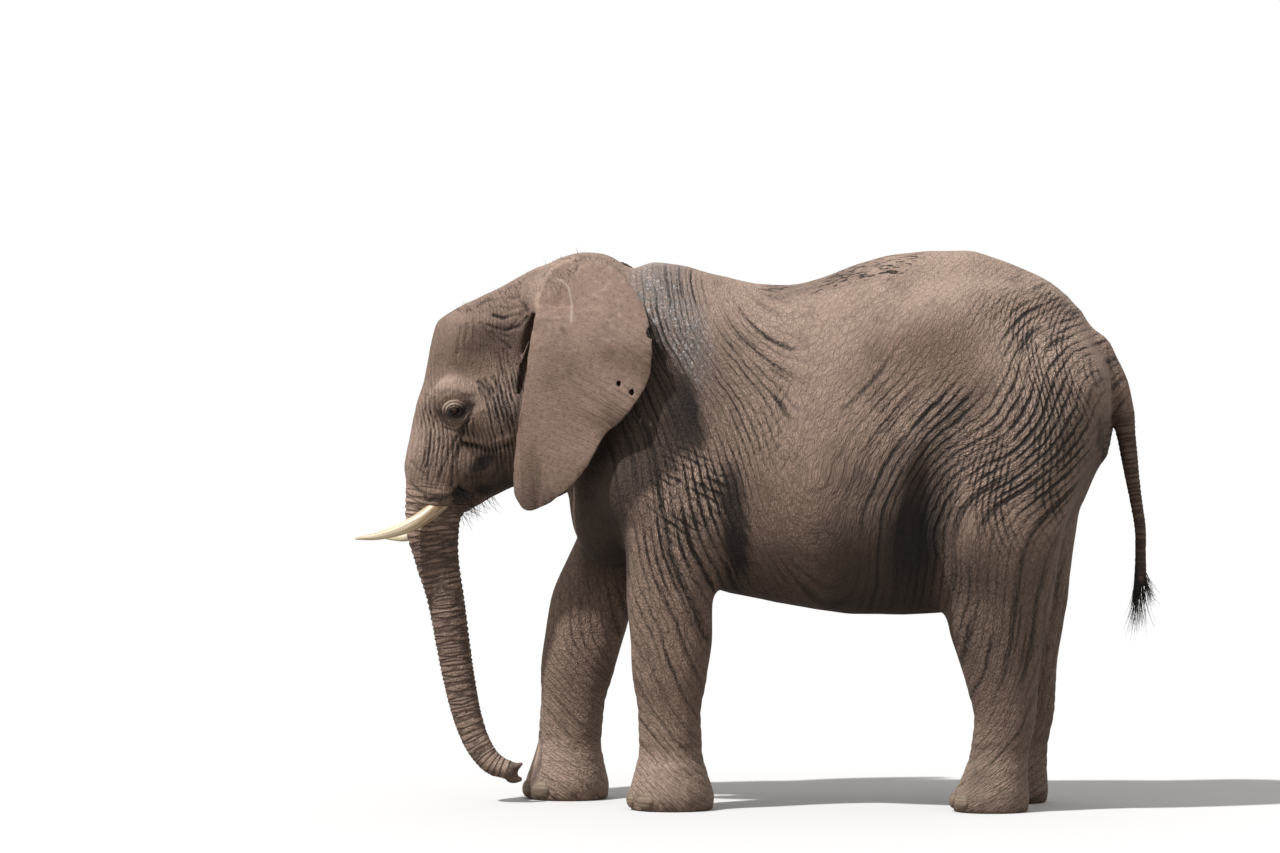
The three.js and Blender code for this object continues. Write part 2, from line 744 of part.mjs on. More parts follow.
// The origin is put on the floor under the middle of the elephant.
const box = new THREE.Box3().setFromObject(elephant);
const middle = box.getCenter(new THREE.Vector3());
for (const mesh of elephant.children) mesh.geometry.translate(-middle.x, -middle.y, -box.min.z);

export default elephant;
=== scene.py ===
import math
import time
import bmesh
import bpy
import numpy as np
from mathutils import Matrix, Vector


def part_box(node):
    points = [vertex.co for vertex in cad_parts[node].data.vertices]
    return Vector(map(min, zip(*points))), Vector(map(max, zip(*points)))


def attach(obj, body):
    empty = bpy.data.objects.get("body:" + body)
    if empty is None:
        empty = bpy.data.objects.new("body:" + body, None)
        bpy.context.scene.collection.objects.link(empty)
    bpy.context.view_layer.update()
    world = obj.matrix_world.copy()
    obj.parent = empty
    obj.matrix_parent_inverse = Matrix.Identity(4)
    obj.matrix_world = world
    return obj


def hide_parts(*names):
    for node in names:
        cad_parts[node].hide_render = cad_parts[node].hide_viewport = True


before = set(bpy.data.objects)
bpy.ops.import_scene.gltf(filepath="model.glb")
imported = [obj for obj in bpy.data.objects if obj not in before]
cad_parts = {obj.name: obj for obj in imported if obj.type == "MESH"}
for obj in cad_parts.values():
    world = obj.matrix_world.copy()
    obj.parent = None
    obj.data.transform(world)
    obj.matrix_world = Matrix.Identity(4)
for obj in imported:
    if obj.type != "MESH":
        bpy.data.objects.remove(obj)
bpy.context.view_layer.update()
startedAt = time.time()


def tell(words):
    print(f"[{time.time() - startedAt:5.1f} s] {words}", flush=True)


# Shapes are worked out in millimetres, with the middle of the back at y = 0,
# and laid in the model's frame at the end.
eyeMiddle = (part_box("eye_left")[0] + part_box("eye_left")[1]) / 2
eyeY, eyeZ, eyeX = -1351, 1790, eyeMiddle.x * 1000
shiftY = eyeMiddle.y * 1000 - eyeY


def inFrame(points):
    return (np.asarray(points, float) + (0, shiftY, 0)) / 1000


# smooth values and simple forms

def through(stations):  # a smooth value of t through [t, value], level past the ends
    t, v = np.array(stations, float).T
    slope = np.diff(v) / np.diff(t)
    tangent = np.zeros(len(t))
    before, after = slope[:-1], slope[1:]
    same = before * after > 0
    tangent[1:-1][same] = 2 * before[same] * after[same] / (before[same] + after[same])
    at = np.linspace(t[0], t[-1], 1500)
    i = np.clip(np.searchsorted(t, at, side="right") - 1, 0, len(t) - 2)
    h = t[i + 1] - t[i]
    s = (at - t[i]) / h
    rise = s * s * (3 - 2 * s)
    value = v[i] * (1 - rise) + v[i + 1] * rise
    value += h * s * (1 - s) * ((1 - s) * tangent[i] - s * tangent[i + 1])
    return lambda x: np.interp(x, at, value)


def columns(table):
    rows = np.array(table, float)
    return [through(rows[:, (0, c)]) for c in range(1, rows.shape[1])]


def joined(a, b, soft):  # two forms run together with a fillet about as wide as soft
    h = np.maximum(soft - np.abs(a - b), 0) / soft
    return np.minimum(a, b) - h * h * soft / 4


def carved(a, b, soft):
    return -joined(-a, b, soft)


def smoothStep(x, low, high):
    t = np.clip((x - low) / (high - low), 0, 1)
    return t * t * (3 - 2 * t)


def ellipsoid(x, y, z, centre, radii, tip):
    c, s = math.cos(tip), math.sin(tip)
    dy, dz = y - centre[1], z - centre[2]
    q = ((x - centre[0]) / radii[0], (c * dy + s * dz) / radii[1], (c * dz - s * dy) / radii[2])
    near = np.sqrt(q[0] ** 2 + q[1] ** 2 + q[2] ** 2)
    far = np.sqrt((q[0] / radii[0]) ** 2 + (q[1] / radii[1]) ** 2 + (q[2] / radii[2]) ** 2)
    return near * (near - 1) / np.maximum(far, 1e-9)


def shaped(value, x, y, z, forms):  # ellipsoids joined on or carved away, one after the other
    for work, centre, radii, tip, soft in forms:
        value = work(value, ellipsoid(x, y, z, centre, radii, tip), soft)
    return value


def section(u, v, a, b, power):
    reach = (np.abs(u / a) ** power + np.abs(v / b) ** power) ** (1 / power)
    return (reach - 1) * np.minimum(a, b)


def curveThrough(points, closed=False, steps=400):  # a centripetal curve through points
    p = np.array(points, float)
    if closed:
        p = np.vstack([p[-1], p, p[0], p[1]])
    else:
        p = np.vstack([2 * p[0] - p[1], p, 2 * p[-1] - p[-2]])
    runs = len(p) - 3
    out = []
    for u in np.arange(steps + (not closed)) / steps * runs:
        i = min(int(u), runs - 1)
        s = u - i
        a, b, c, d = p[i:i + 4]
        k0, k1, k2 = (max(np.linalg.norm(n - m) ** 0.5, 1e-4) for m, n in ((a, b), (b, c), (c, d)))
        t1 = ((b - a) / k0 - (c - a) / (k0 + k1) + (c - b) / k1) * k1
        t2 = ((c - b) / k1 - (d - b) / (k1 + k2) + (d - c) / k2) * k1
        out.append(b + s * t1 + s * s * (3 * (c - b) - 2 * t1 - t2) + s ** 3 * (2 * (b - c) + t1 + t2))
    return np.array(out)


def strokeDistance(y, z, points):  # how far each place is from a line through points
    best = np.full(np.broadcast(y, z).shape, 1e9)
    for p, q in zip(points[:-1], points[1:]):
        dy, dz = q[0] - p[0], q[1] - p[1]
        s = np.clip(((y - p[0]) * dy + (z - p[1]) * dz) / (dy * dy + dz * dz), 0, 1)
        best = np.minimum(best, np.hypot(y - p[0] - s * dy, z - p[1] - s * dz))
    return best


class Chart:  # values on a grid of y and z, read between its points
    def __init__(self, low, high, step):
        self.low, self.step = np.array(low, float), step
        count = np.ceil((np.array(high) - low) / step).astype(int) + 1
        self.y = low[0] + step * np.arange(count[0])[:, None]
        self.z = low[1] + step * np.arange(count[1])[None, :]

    def read(self, values, y, z):
        u = np.clip((y - self.low[0]) / self.step, 0, values[0].shape[0] - 1.001)
        v = np.clip((z - self.low[1]) / self.step, 0, values[0].shape[1] - 1.001)
        i, j = u.astype(np.int32), v.astype(np.int32)
        f, g = u - i, v - j
        weights = ((1 - f) * (1 - g), f * (1 - g), (1 - f) * g, f * g)
        around = ((i, j), (i + 1, j), (i, j + 1), (i + 1, j + 1))
        return [sum(w * grid[c] for w, c in zip(weights, around)) for grid in values]


class Tube:  # a round limb along a curve in the middle plane, from rows of y, z, half-depth, half-width
    def __init__(self, rows, reach=330):
        rows, between = np.array(rows, float), 80  # steps of the curve between two rows
        dense = curveThrough(rows[:, :2], steps=between * (len(rows) - 1))
        lengths = np.concatenate([[0], np.cumsum(np.linalg.norm(np.diff(dense, axis=0), axis=1))])
        self.length = lengths[-1]
        share = lengths[::between] / self.length
        self.depth, self.width = through(np.c_[share, rows[:, 2]]), through(np.c_[share, rows[:, 3]])
        place = np.linspace(0, self.length, 61)
        self.line = np.c_[np.interp(place, lengths, dense[:, 0]), np.interp(place, lengths, dense[:, 1])]
        self.chart = Chart(self.line.min(0) - reach, self.line.max(0) + reach, 8)
        self.values = self.measure(self.chart.y, self.chart.z)

    def measure(self, y, z):  # the distance from the curve, and how far along it, from 0 to 1
        best = np.full(np.broadcast(y, z).shape, 1e9)
        along = np.zeros(best.shape)
        for i, (p, q) in enumerate(zip(self.line[:-1], self.line[1:])):
            d = q - p
            s = np.clip(((y - p[0]) * d[0] + (z - p[1]) * d[1]) / (d @ d), 0, 1)
            away = np.hypot(y - p[0] - s * d[0], z - p[1] - s * d[1])
            nearer = away < best
            best = np.where(nearer, away, best)
            along = np.where(nearer, (i + s) / (len(self.line) - 1), along)
        return best, along

    def field(self, x, y, z):
        away, along = self.chart.read(self.values, y, z)
        return section(x, away, self.width(along), self.depth(along), 2)


# the flesh, the same forms that the solids are cut from

backAt, bellyAt, ribsAt, widestAt = columns([  # y, back, belly, half-width, height of the widest place
    [-1040, 2380, 1580, 235, 1960], [-860, 2400, 1510, 275, 1930], [-700, 2410, 1370, 325, 1880],
    [-576, 2420, 1225, 372, 1820], [-473, 2447, 1140, 410, 1760], [-360, 2432, 1060, 440, 1700],
    [-180, 2390, 965, 496, 1620], [0, 2349, 928, 548, 1550], [110, 2340, 908, 574, 1520],
    [270, 2374, 882, 600, 1490], [450, 2442, 868, 617, 1480], [630, 2488, 866, 612, 1500],
    [800, 2501, 872, 574, 1560], [930, 2507, 900, 530, 1640], [1080, 2464, 985, 496, 1720],
    [1260, 2382, 1120, 460, 1790], [1440, 2243, 1340, 350, 1830], [1540, 2110, 1500, 270, 1830],
])
swing = through([  # how much of a stride each height takes
    [0, 1], [580, 0.89], [900, 0.765], [1057, 0.64], [1200, 0.5], [1450, 0.3], [1700, 0.13], [1950, 0],
])
foreleg = columns([  # z, y of its middle, half-depth, x of its middle, half-width
    [0, -375, 186, 262, 176], [55, -376, 192, 262, 182], [150, -378, 170, 262, 165],
    [270, -380, 144, 262, 139], [430, -384, 145, 264, 138], [590, -382, 168, 266, 150],
    [760, -377, 184, 268, 154], [930, -382, 194, 272, 163], [1080, -372, 207, 278, 174],
    [1250, -352, 236, 286, 186], [1450, -336, 274, 290, 196], [1700, -334, 268, 262, 192],
    [1950, -356, 215, 205, 172], [2180, -392, 150, 130, 130],
])
hindleg = columns([
    [0, 1056, 168, 245, 146], [55, 1057, 174, 245, 151], [150, 1074, 152, 246, 136],
    [270, 1096, 134, 248, 121], [430, 1118, 143, 252, 124], [570, 1108, 163, 258, 136],
    [700, 1096, 190, 266, 154], [830, 1090, 221, 276, 176], [930, 1094, 238, 286, 190],
    [1100, 1113, 244, 314, 220], [1280, 1136, 258, 334, 238], [1480, 1165, 292, 348, 246],
    [1700, 1188, 334, 346, 250], [1900, 1200, 366, 312, 250], [2080, 1150, 346, 258, 230],
    [2260, 1062, 272, 175, 180],
])
legs = [  # the leg, its stride, its side, the height where it ends inside the body, its fillet
    (foreleg, 0, 1, 2240, 95), (hindleg, 0, 1, 2330, 105),
    (foreleg, -520, -1, 2240, 95), (hindleg, 60, -1, 2330, 105),
]
headShape = columns([  # z, y of its front, y of its back, half-width
    [1400, -1575, -1190, 150], [1500, -1592, -1090, 196], [1600, -1574, -1000, 228],
    [1700, -1556, -930, 256], [1800, -1538, -880, 276], [1900, -1519, -830, 272],
    [2000, -1500, -790, 266], [2100, -1478, -750, 270], [2165, -1460, -730, 268],
    [2220, -1392, -700, 258], [2280, -1276, -680, 240], [2340, -1150, -660, 210],
    [2400, -1042, -640, 170], [2450, -930, -640, 125],
])
trunk = Tube([
    [-1420, 1760, 120, 160], [-1436, 1620, 132, 172], [-1457, 1480, 136, 160], [-1474, 1350, 132, 140],
    [-1478, 1235, 123, 124], [-1460, 1103, 103, 106], [-1420, 923, 87, 90], [-1391, 743, 81, 82],
    [-1360, 560, 75, 75], [-1322, 390, 68, 68], [-1272, 260, 61, 61], [-1205, 176, 54, 54],
    [-1135, 148, 46, 47],
])
tail = Tube([
    [1500, 2030, 90, 90], [1590, 1900, 74, 80], [1634, 1780, 52, 56], [1647, 1680, 45, 46],
    [1660, 1590, 41, 41], [1676, 1480, 35, 35], [1694, 1370, 30, 30], [1712, 1250, 28, 28],
    [1713, 1150, 27, 27], [1713, 1060, 29, 30], [1712, 1010, 26, 27],
], reach=260)

# the forms that are worked into the flesh, on both sides alike: centre, radii, tip, fillet
bodyForms = [
    (joined, (368, 915, 2120), (140, 215, 190), 0, 160),  # point of the hip
    (joined, (300, -400, 1900), (130, 200, 330), 0, 130),  # shoulder blade
    (joined, (285, -560, 1470), (160, 150, 180), 0, 110),  # point of the shoulder
    (joined, (235, 1370, 1780), (190, 158, 240), 0.1, 100),  # buttock
    (joined, (0, 1430, 2040), (110, 145, 125), 0, 50),  # root of the tail
    (joined, (372, 1000, 1360), (200, 130, 330), -0.1, 70),  # front of the thigh
    (carved, (660, 700, 1960), (100, 150, 230), 0.5, 170),  # flank, below the spine
    (carved, (640, 815, 1440), (120, 100, 420), -0.2, 90),  # flank, in front of the thigh
    (joined, (0, -690, 1330), (235, 165, 255), 0.1, 150),  # breast
]
throatForms = [(joined, (0, -920, 1610), (205, 230, 135), 0.1, 120)]
headForms = [
    (joined, (232, -1345, 1838), (72, 120, 92), 0, 60),  # brow and orbit
    (joined, (222, -1130, 1800), (72, 210, 120), 0.35, 100),  # cheekbone
    (joined, (132, -1440, 1520), (84, 100, 165), 0.1, 60),  # tusk sheath
    (joined, (140, -1440, 1400), (62, 60, 60), 0.4, 40),  # lip round the tusk
    (joined, (112, -1262, 2060), (130, 165, 140), 0.3, 90),  # dome of the forehead
    (carved, (322, -1190, 1990), (64, 120, 130), 0.2, 110),  # temple
    (carved, (266, -1000, 2120), (70, 30, 115), -0.2, 30),  # slit in front of the ear
    (carved, (300, -1262, 1560), (92, 92, 120), 0, 60),  # between cheek and tusk sheath
    (joined, (0, -1095, 1582), (190, 190, 136), 0.35, 55),  # back of the jaw
    (joined, (0, -1215, 1466), (118, 150, 80), 0.55, 55),  # middle of the jaw
    (joined, (0, -1310, 1372), (58, 66, 40), 0.7, 55),  # lower lip
]
skinForms = [  # these are smaller, and only the skin has them
    (carved, (272, -1042, 1975), (40, 13, 120), -0.16, 18),  # slit before the ear
    (joined, (262, -1032, 2050), (16, 8, 62), -0.35, 14),  # gristle in the slit
    (carved, (eyeX + 32, eyeY + 8, eyeZ), (34, 68, 60), 0, 34),  # socket of the eye
    (carved, (eyeX + 34, eyeY + 58, eyeZ + 28), (34, 44, 36), 0.3, 30),  # behind and above the eye
    (joined, (eyeX - 20, eyeY, eyeZ + 3), (43, 54, 50), 0, 8),  # lids over the ball
    (carved, (eyeX + 26, eyeY + 4, eyeZ - 9), (24, 30, 17), 0.14, 3),  # slit between the lids
    (joined, (146, -1416, 1394), (50, 46, 46), 0.4, 22),  # lip over the tusk
    (carved, (0, -1350, 1420), (84, 66, 9), -0.5, 12),  # mouth
    (joined, (0, -1104, 104), (27, 36, 17), 0.1, 24),  # lower finger of the trunk
    (joined, (0, -1092, 168), (24, 30, 14), 0.5, 22),  # upper finger
    (carved, (17, -1088, 134), (12, 40, 15), -0.38, 8),  # nostril
]


def bodyField(x, y, z):
    rising = z > widestAt(y)
    height = np.where(rising, backAt(y) - widestAt(y), widestAt(y) - bellyAt(y))
    power = np.where(rising, 1.85, 2.15)  # the back is nearer to a ridge and the belly to a barrel
    value = section(x, z - widestAt(y), ribsAt(y), height, power)
    value = carved(carved(value, y + 1010, 150), 1585 - y, 170)  # ends in the neck and at the rump
    value = shaped(value, np.abs(x), y, z, bodyForms)
    for (yAt, depthAt, xAt, widthAt), stride, hand, top, soft in legs:
        power = np.where(z < 300, 2.1, 2.3)
        leg = section(x - hand * xAt(z), y - yAt(z) - stride * swing(z), widthAt(z), depthAt(z), power)
        value = joined(value, carved(leg, top - z, 120), soft)
    value = shaped(value, np.abs(x), y, z, throatForms)
    return joined(value, tail.field(x, y, z), 32)


def faceField(x, y, z):
    front, back, width = (f(z) for f in headShape)
    across = (2 * y - front - back) / (back - front)
    half = width * (1 + 0.2 * np.clip(across, -1, 1))  # wider at the back than at the front
    value = section(x, y - (front + back) / 2, half, (back - front) / 2, 2.5)
    value = carved(carved(value, 2486 - z, 130), z - 1470, 90)  # ends at the crown and above the jaw
    value = shaped(value, np.abs(x), y, z, headForms)
    return joined(value, trunk.field(x, y, z), 60)


def fleshField(x, y, z):
    return joined(bodyField(x, y, z), faceField(x, y, z), 90)


# the ears, thin sheets that hang from a root behind the cheek

ear = {  # the line of its margin and of its root, half-thicknesses, and how it stands off the neck
    "margin": [
        (-965, 2310), (-935, 2392), (-860, 2446), (-730, 2452), (-610, 2418), (-505, 2300), (-450, 2180),
        (-436, 2040), (-470, 1905), (-560, 1770), (-650, 1690), (-735, 1540), (-850, 1420), (-960, 1350),
        (-1030, 1338), (-1080, 1400), (-1082, 1560), (-1052, 1770), (-1024, 1950), (-1002, 2110),
        (-985, 2220),
    ],
    "root": ((-893, 2290), (-915, 1985)), "rootHalf": 18, "edgeHalf": 7.5, "rootWide": 34,
    "front": 310, "flare": 220, "high": 260, "low": 50, "stand": 30, "sunk": 26,
    "torn": ((-447, 2150, 17), (-589, 1922, 7), (-530, 1884, 9)),  # a notch and two holes: y, z, size
}
earChart = Chart((-1200, 1230), (-320, 2560), 6)


def earLie(y, z):  # rises across the folds of the ear, which sweep back and down to its margin
    return z + 0.32 * y + 2.4e-4 * (y + 949) ** 2


def fleshReach():  # how far out the flesh comes at each place of the ear's chart
    x = np.full(np.broadcast(earChart.y, earChart.z).shape, 620.0)
    for _ in range(30):  # going in from outside until the flesh is met
        away = fleshField(x, earChart.y, earChart.z)
        x = np.where(away > 1, x - np.minimum(40, away * 0.8), x)
    return np.maximum(x, 0)


def outlineOf(y, z):  # the distance from the ear's margin, below zero inside it
    rim = curveThrough(ear["margin"], closed=True, steps=260)
    inside = np.zeros(np.broadcast(y, z).shape, bool)
    for a, b in zip(rim, np.roll(rim, -1, axis=0)):
        d = b - a
        crosses = (a[1] > z) != (b[1] > z)
        if abs(d[1]) > 1e-9:
            inside ^= crosses & (y < a[0] + (z - a[1]) * d[0] / d[1])
    away = strokeDistance(y, z, np.vstack([rim, rim[:1]]))
    ragged = 2.5 * np.sin(y / 17 + 3 * np.sin(z / 60)) * np.sin(z / 23 + y / 90)
    outline = np.where(inside, -away, away) + ragged
    for spotY, spotZ, wide in ear["torn"]:
        outline = np.maximum(outline, wide - np.hypot(y - spotY, (z - spotZ) * 0.7))
    return outline


def layEar():
    y, z = earChart.y, earChart.z
    skin = fleshReach()
    fromRoot = strokeDistance(y, z, ear["root"])
    back = np.clip((y + 1080) / 560, 0, 1)
    high = np.clip((z - 2060) / 400, 0, 1)
    low = np.clip((1800 - z) / 480, 0, 1)
    hang = ear["front"] + ear["flare"] * np.sin(back * math.pi / 2)
    hang = hang - ear["high"] * high ** 1.6 - ear["low"] * low
    reach = np.maximum(skin + ear["stand"], hang)
    merged = smoothStep(z, 2195, 2265) * smoothStep(-y, 770, 880)  # here the ear runs on from the crown
    reach = reach + (skin - ear["sunk"] - reach) * merged
    outline = outlineOf(y, z)
    folds = earLie(y, z)
    free = smoothStep(y, -960, -640)  # the folds are in the part that hangs free
    lift = 4 * np.sin(folds / 23 + 3 * np.sin(folds / 71 + y / 160) + y / 90) * free
    lift = lift * (0.5 + 0.5 * np.sin(y / 75 + folds / 140))
    lift = lift + 13 * np.sin(folds / 52 + 0.6) * smoothStep(outline, -150, 0) * free
    dy, dz = np.gradient(reach + lift, earChart.step)
    return [reach + lift, 1 / np.sqrt(1 + dy ** 2 + dz ** 2), outline, fromRoot, skin]


earValues = layEar()
tell("ears laid")


def earField(x, y, z):
    reach, lean, outline, fromRoot, skin = earChart.read(earValues, y, z)
    half = ear["rootHalf"] + (ear["edgeHalf"] - ear["rootHalf"]) * smoothStep(fromRoot, 0, 330)
    off = np.abs(np.abs(x) - reach) * lean
    past = outline + half
    sheet = np.where(past > 0, np.hypot(np.maximum(past, 0), off), off) - half
    depth = (reach - skin + 40) / 2  # the root is a block between the skull and the sheet
    across = np.maximum(np.abs(np.abs(x) - reach + depth) - depth, 0)
    root = np.hypot(across, np.maximum(fromRoot - ear["rootWide"], 0)) - 8
    return joined(sheet, root, 30)


def skinField(x, y, z):
    merge = 20 + 50 * smoothStep(z, 2195, 2270) * smoothStep(-y, 830, 930)  # widest at the crown
    value = joined(fleshField(x, y, z), earField(x, y, z), merge)
    return shaped(value, np.abs(x), y, z, skinForms)


# the mesh of a field

corners = [(a, b, c) for a in (0, 1) for b in (0, 1) for c in (0, 1)]  # of a cell, by axis


def sampled(field, axes, block=8, batch=600):  # a field on a grid, worked out in full only near its surface
    blocks = [math.ceil(len(a) / block) for a in axes]
    padded = [np.concatenate([a, a[-1] + (a[-1] - a[-2]) * np.arange(1, n * block - len(a) + 1)])
              for a, n in zip(axes, blocks)]
    middle = [a.reshape(-1, block)[:, [0, -1]].mean(1) for a in padded]
    reach = [np.ptp(a.reshape(-1, block), axis=1) / 2 for a in padded]
    rough = field(middle[0][:, None, None], middle[1][None, :, None], middle[2][None, None, :])
    squares = [r ** 2 for r in reach]
    radius = np.sqrt(squares[0][:, None, None] + squares[1][None, :, None] + squares[2][None, None, :])
    near = np.argwhere(np.abs(rough) < 1.7 * radius + 12)
    value = np.repeat(np.repeat(np.repeat(rough.astype(np.float32), block, 0), block, 1), block, 2)
    view = value.reshape(blocks[0], block, blocks[1], block, blocks[2], block)
    for start in range(0, len(near), batch):
        i, j, k = near[start:start + batch].T
        x = padded[0].reshape(-1, block)[i][:, :, None, None]
        y = padded[1].reshape(-1, block)[j][:, None, :, None]
        z = padded[2].reshape(-1, block)[k][:, None, None, :]
        view[i, :, j, :, k, :] = field(x, y, z)
    return value, padded


def pointsInCells(value, axes, cells):  # in the middle of where each cell's edges meet the surface
    at = {c: value[tuple((cells + c).T)] for c in corners}
    total, hits = np.zeros((len(cells), 3)), np.zeros(len(cells))
    for a in corners:
        for axis in range(3):
            if a[axis]:
                continue
            b = tuple(v + (n == axis) for n, v in enumerate(a))
            crossing = (at[a] < 0) != (at[b] < 0)
            t = np.where(crossing, at[a] / np.where(crossing, at[a] - at[b], 1), 0)
            spot = np.array(a, float)[None, :] * crossing[:, None]
            spot[:, axis] += t
            total += spot
            hits += crossing
    offset = total / hits[:, None]
    places = np.empty((len(cells), 3))
    for axis in range(3):
        first = axes[axis][cells[:, axis]]
        places[:, axis] = first + offset[:, axis] * (axes[axis][cells[:, axis] + 1] - first)
    return places


def meshOf(field, *axes):  # the surface where a field is zero, as points and four-sided faces
    value, axes = sampled(field, axes)
    inside = value < 0
    count = np.zeros([n - 1 for n in value.shape], np.int8)
    ends = (slice(None, -1), slice(1, None))
    for a, b, c in corners:
        count += inside[ends[a], ends[b], ends[c]]
    cells = np.argwhere((count > 0) & (count < 8))
    number = np.full(count.shape, -1, np.int32)
    number[tuple(cells.T)] = np.arange(len(cells))
    quads = []
    for axis in range(3):
        lower, upper = [slice(None)] * 3, [slice(None)] * 3
        lower[axis], upper[axis] = ends
        edges = np.argwhere(inside[tuple(lower)] != inside[tuple(upper)])
        u, v = np.roll((1, 0, 0), axis + 1), np.roll((1, 0, 0), axis + 2)
        ring = np.stack([number[tuple((edges - step).T)] for step in (0 * u, u, u + v, v)], 1)
        outward = ~inside[tuple(edges.T)]
        ring[outward] = ring[outward][:, ::-1]
        quads.append(ring[(ring >= 0).all(1)])
    return pointsInCells(value, axes, cells), np.vstack(quads)


coarse = 1.0


def spaced(*runs):  # places along an axis, from (start, end, step) runs that follow on
    out = [np.array([runs[0][0]], float)]
    for start, end, step in runs:
        count = max(1, round((end - start) / (step * coarse)))
        out.append(start + (end - start) * np.arange(1, count + 1) / count)
    return np.concatenate(out)


# the lie of the wrinkles

lieOfFolds = [  # y, z, the way of the folds there, in degrees from rearward to up, and how far that reaches
    (990, 2210, 60, 110), (990, 2060, 55, 100), (840, 1930, 52, 110), (1100, 1950, 55, 90),
    (1200, 2060, 68, 90), (1250, 2160, 76, 90), (1350, 2030, 75, 80), (1300, 1900, 58, 90),
    (1150, 1750, 25, 80), (990, 1660, 10, 70), (990, 1540, 5, 70), (1150, 1560, 20, 80),
    (1300, 1690, 45, 80), (1410, 1800, 60, 80), (1460, 1590, 62, 80), (1510, 1850, 80, 80),
    (990, 1400, 4, 60), (1150, 1400, 15, 80), (1320, 1490, 38, 80), (990, 1240, 88, 80),
    (1150, 1200, 72, 100), (1350, 1250, 70, 100), (580, 2210, 28, 120), (730, 2180, 32, 110),
    (840, 2260, 38, 90), (890, 2140, 48, 90), (680, 2060, 40, 110), (420, 2140, 30, 120),
    (220, 2140, 30, 120), (480, 1990, 30, 120), (680, 1850, 48, 100), (580, 1690, 50, 100),
    (480, 1590, 55, 90), (400, 1380, 63, 90), (580, 1440, 60, 90), (730, 1380, 65, 90),
    (810, 1640, 58, 90), (730, 1200, 70, 100), (270, 1850, 14, 120), (270, 1640, 4, 110),
    (10, 1950, -48, 110),
    (110, 1750, -52, 100), (170, 1580, -55, 90), (10, 1690, -60, 100), (20, 1440, -80, 110),
    (220, 1300, -10, 110), (890, 2390, 15, 100), (1200, 2330, -22, 100), (1360, 2240, -32, 100),
    (990, 2460, 8, 80), (580, 2400, 18, 110), (-460, 2370, -79, 110), (-280, 2350, -71, 110),
    (-210, 2050, -62, 120), (-100, 1830, -58, 110), (40, 1650, -54, 110), (-110, 1490, -74, 70),
    (-10, 1290, -84, 100), (130, 1940, -25, 110), (-590, 1610, -85, 130), (-410, 1180, -98, 110),
    (-230, 1000, -91, 110), (-410, 1450, -112, 100), (-230, 1560, -104, 70), (-340, 1290, -110, 100),
    (1080, 850, 84, 200), (1100, 500, 70, 220), (1080, 200, 10, 160), (-380, 850, -90, 200),
    (-380, 500, -88, 220), (-380, 200, -10, 160), (-700, 1400, -85, 200), (-880, 1000, -88, 220),
    (-900, 250, -20, 200), (-900, 1500, -80, 160), (-1000, 1900, -80, 120), (-1250, 2150, -95, 150),
    (-1440, 2000, -97, 140), (-1490, 1700, -98, 140), (-1340, 1640, -114, 90), (-1180, 1780, -64, 90),
    (-1100, 1700, -70, 100), (-1110, 1950, -66, 100), (-1080, 1480, -95, 120), (-1300, 1950, -92, 110),
]
lieChart = Chart((-1950, -60), (1900, 2620), 25)


def layFolds():  # two smooth fields: one rises across the folds, the other along them
    y, z = (a.ravel() for a in np.broadcast_arrays(lieChart.y, lieChart.z))
    at = np.array(lieOfFolds, float)
    squares = (y[:, None] - at[:, 0]) ** 2 + (z[:, None] - at[:, 1]) ** 2
    weight = np.exp(-squares / (2 * at[:, 3] ** 2)) + 1e-9
    angle = np.radians((weight * at[:, 2]).sum(1) / weight.sum(1))
    apart, width = 260, 330.0  # of the bumps that each field is a sum of
    centres = [(p, q) for p in np.arange(-2100, 2101, apart) for q in np.arange(-150, 2751, apart)]
    centres = np.array(centres, float)

    def bumps(y, z):
        dy, dz = (y[:, None] - centres[:, 0]) / width, (z[:, None] - centres[:, 1]) / width
        return np.exp(-(dy ** 2 + dz ** 2) / 2), dy, dz

    pick = slice(None, None, 7)
    value, dy, dz = bumps(y[pick], z[pick])
    rows = np.vstack([-value * dy / width, -value * dz / width])
    full = bumps(y, z)[0]
    ridge = 1e-9 * np.eye(len(centres))  # keeps the sums steady where the bumps are much alike
    fields = []
    for turn in (angle - math.pi / 2, angle):
        wanted = np.concatenate([np.cos(turn[pick]), np.sin(turn[pick])])
        weights = np.linalg.solve(rows.T @ rows + ridge, rows.T @ wanted)
        field = (full @ weights).reshape(lieChart.y.size, lieChart.z.size)
        slope = np.hypot(*np.gradient(field, lieChart.step))
        fields.append(field / slope.mean())
    return fields


lieValues = layFolds()
tell("folds laid")

lattice = np.random.default_rng(11).random((32, 32, 32)) * 2 - 1


def ripple(points, size):  # a smooth random value from -1 to 1, its humps about size apart
    q = np.asarray(points) / size + 1000.5
    i = np.floor(q).astype(np.int64)
    f = q - i
    f = f * f * (3 - 2 * f)
    i &= 31
    j = (i + 1) & 31
    total = 0
    for corner in corners:
        a, b, c = [f[:, n] if end else 1 - f[:, n] for n, end in enumerate(corner)]
        cell = [(j if end else i)[:, n] for n, end in enumerate(corner)]
        total = total + a * b * c * lattice[tuple(cell)]
    return total


def creases(place, spacing, sharp=2.5):  # 0 on the crests and 1 in the grooves between folds
    return np.abs(np.cos(math.pi * (place / spacing))) ** (2 * sharp)


def patch(y, z, centre, radii, tip=0):  # 1 in the middle of an oval on the side, 0 from its edge
    c, s = math.cos(tip), math.sin(tip)
    dy, dz = y - centre[0], z - centre[1]
    away = ((c * dy + s * dz) / radii[0]) ** 2 + ((c * dz - s * dy) / radii[1]) ** 2
    return np.clip(1 - away, 0, 1) ** 1.5


def patches(y, z, rows):  # the sum of patches, each from its strength, middle, radii and tip
    return sum(strength * patch(y, z, *form) for strength, *form in rows)


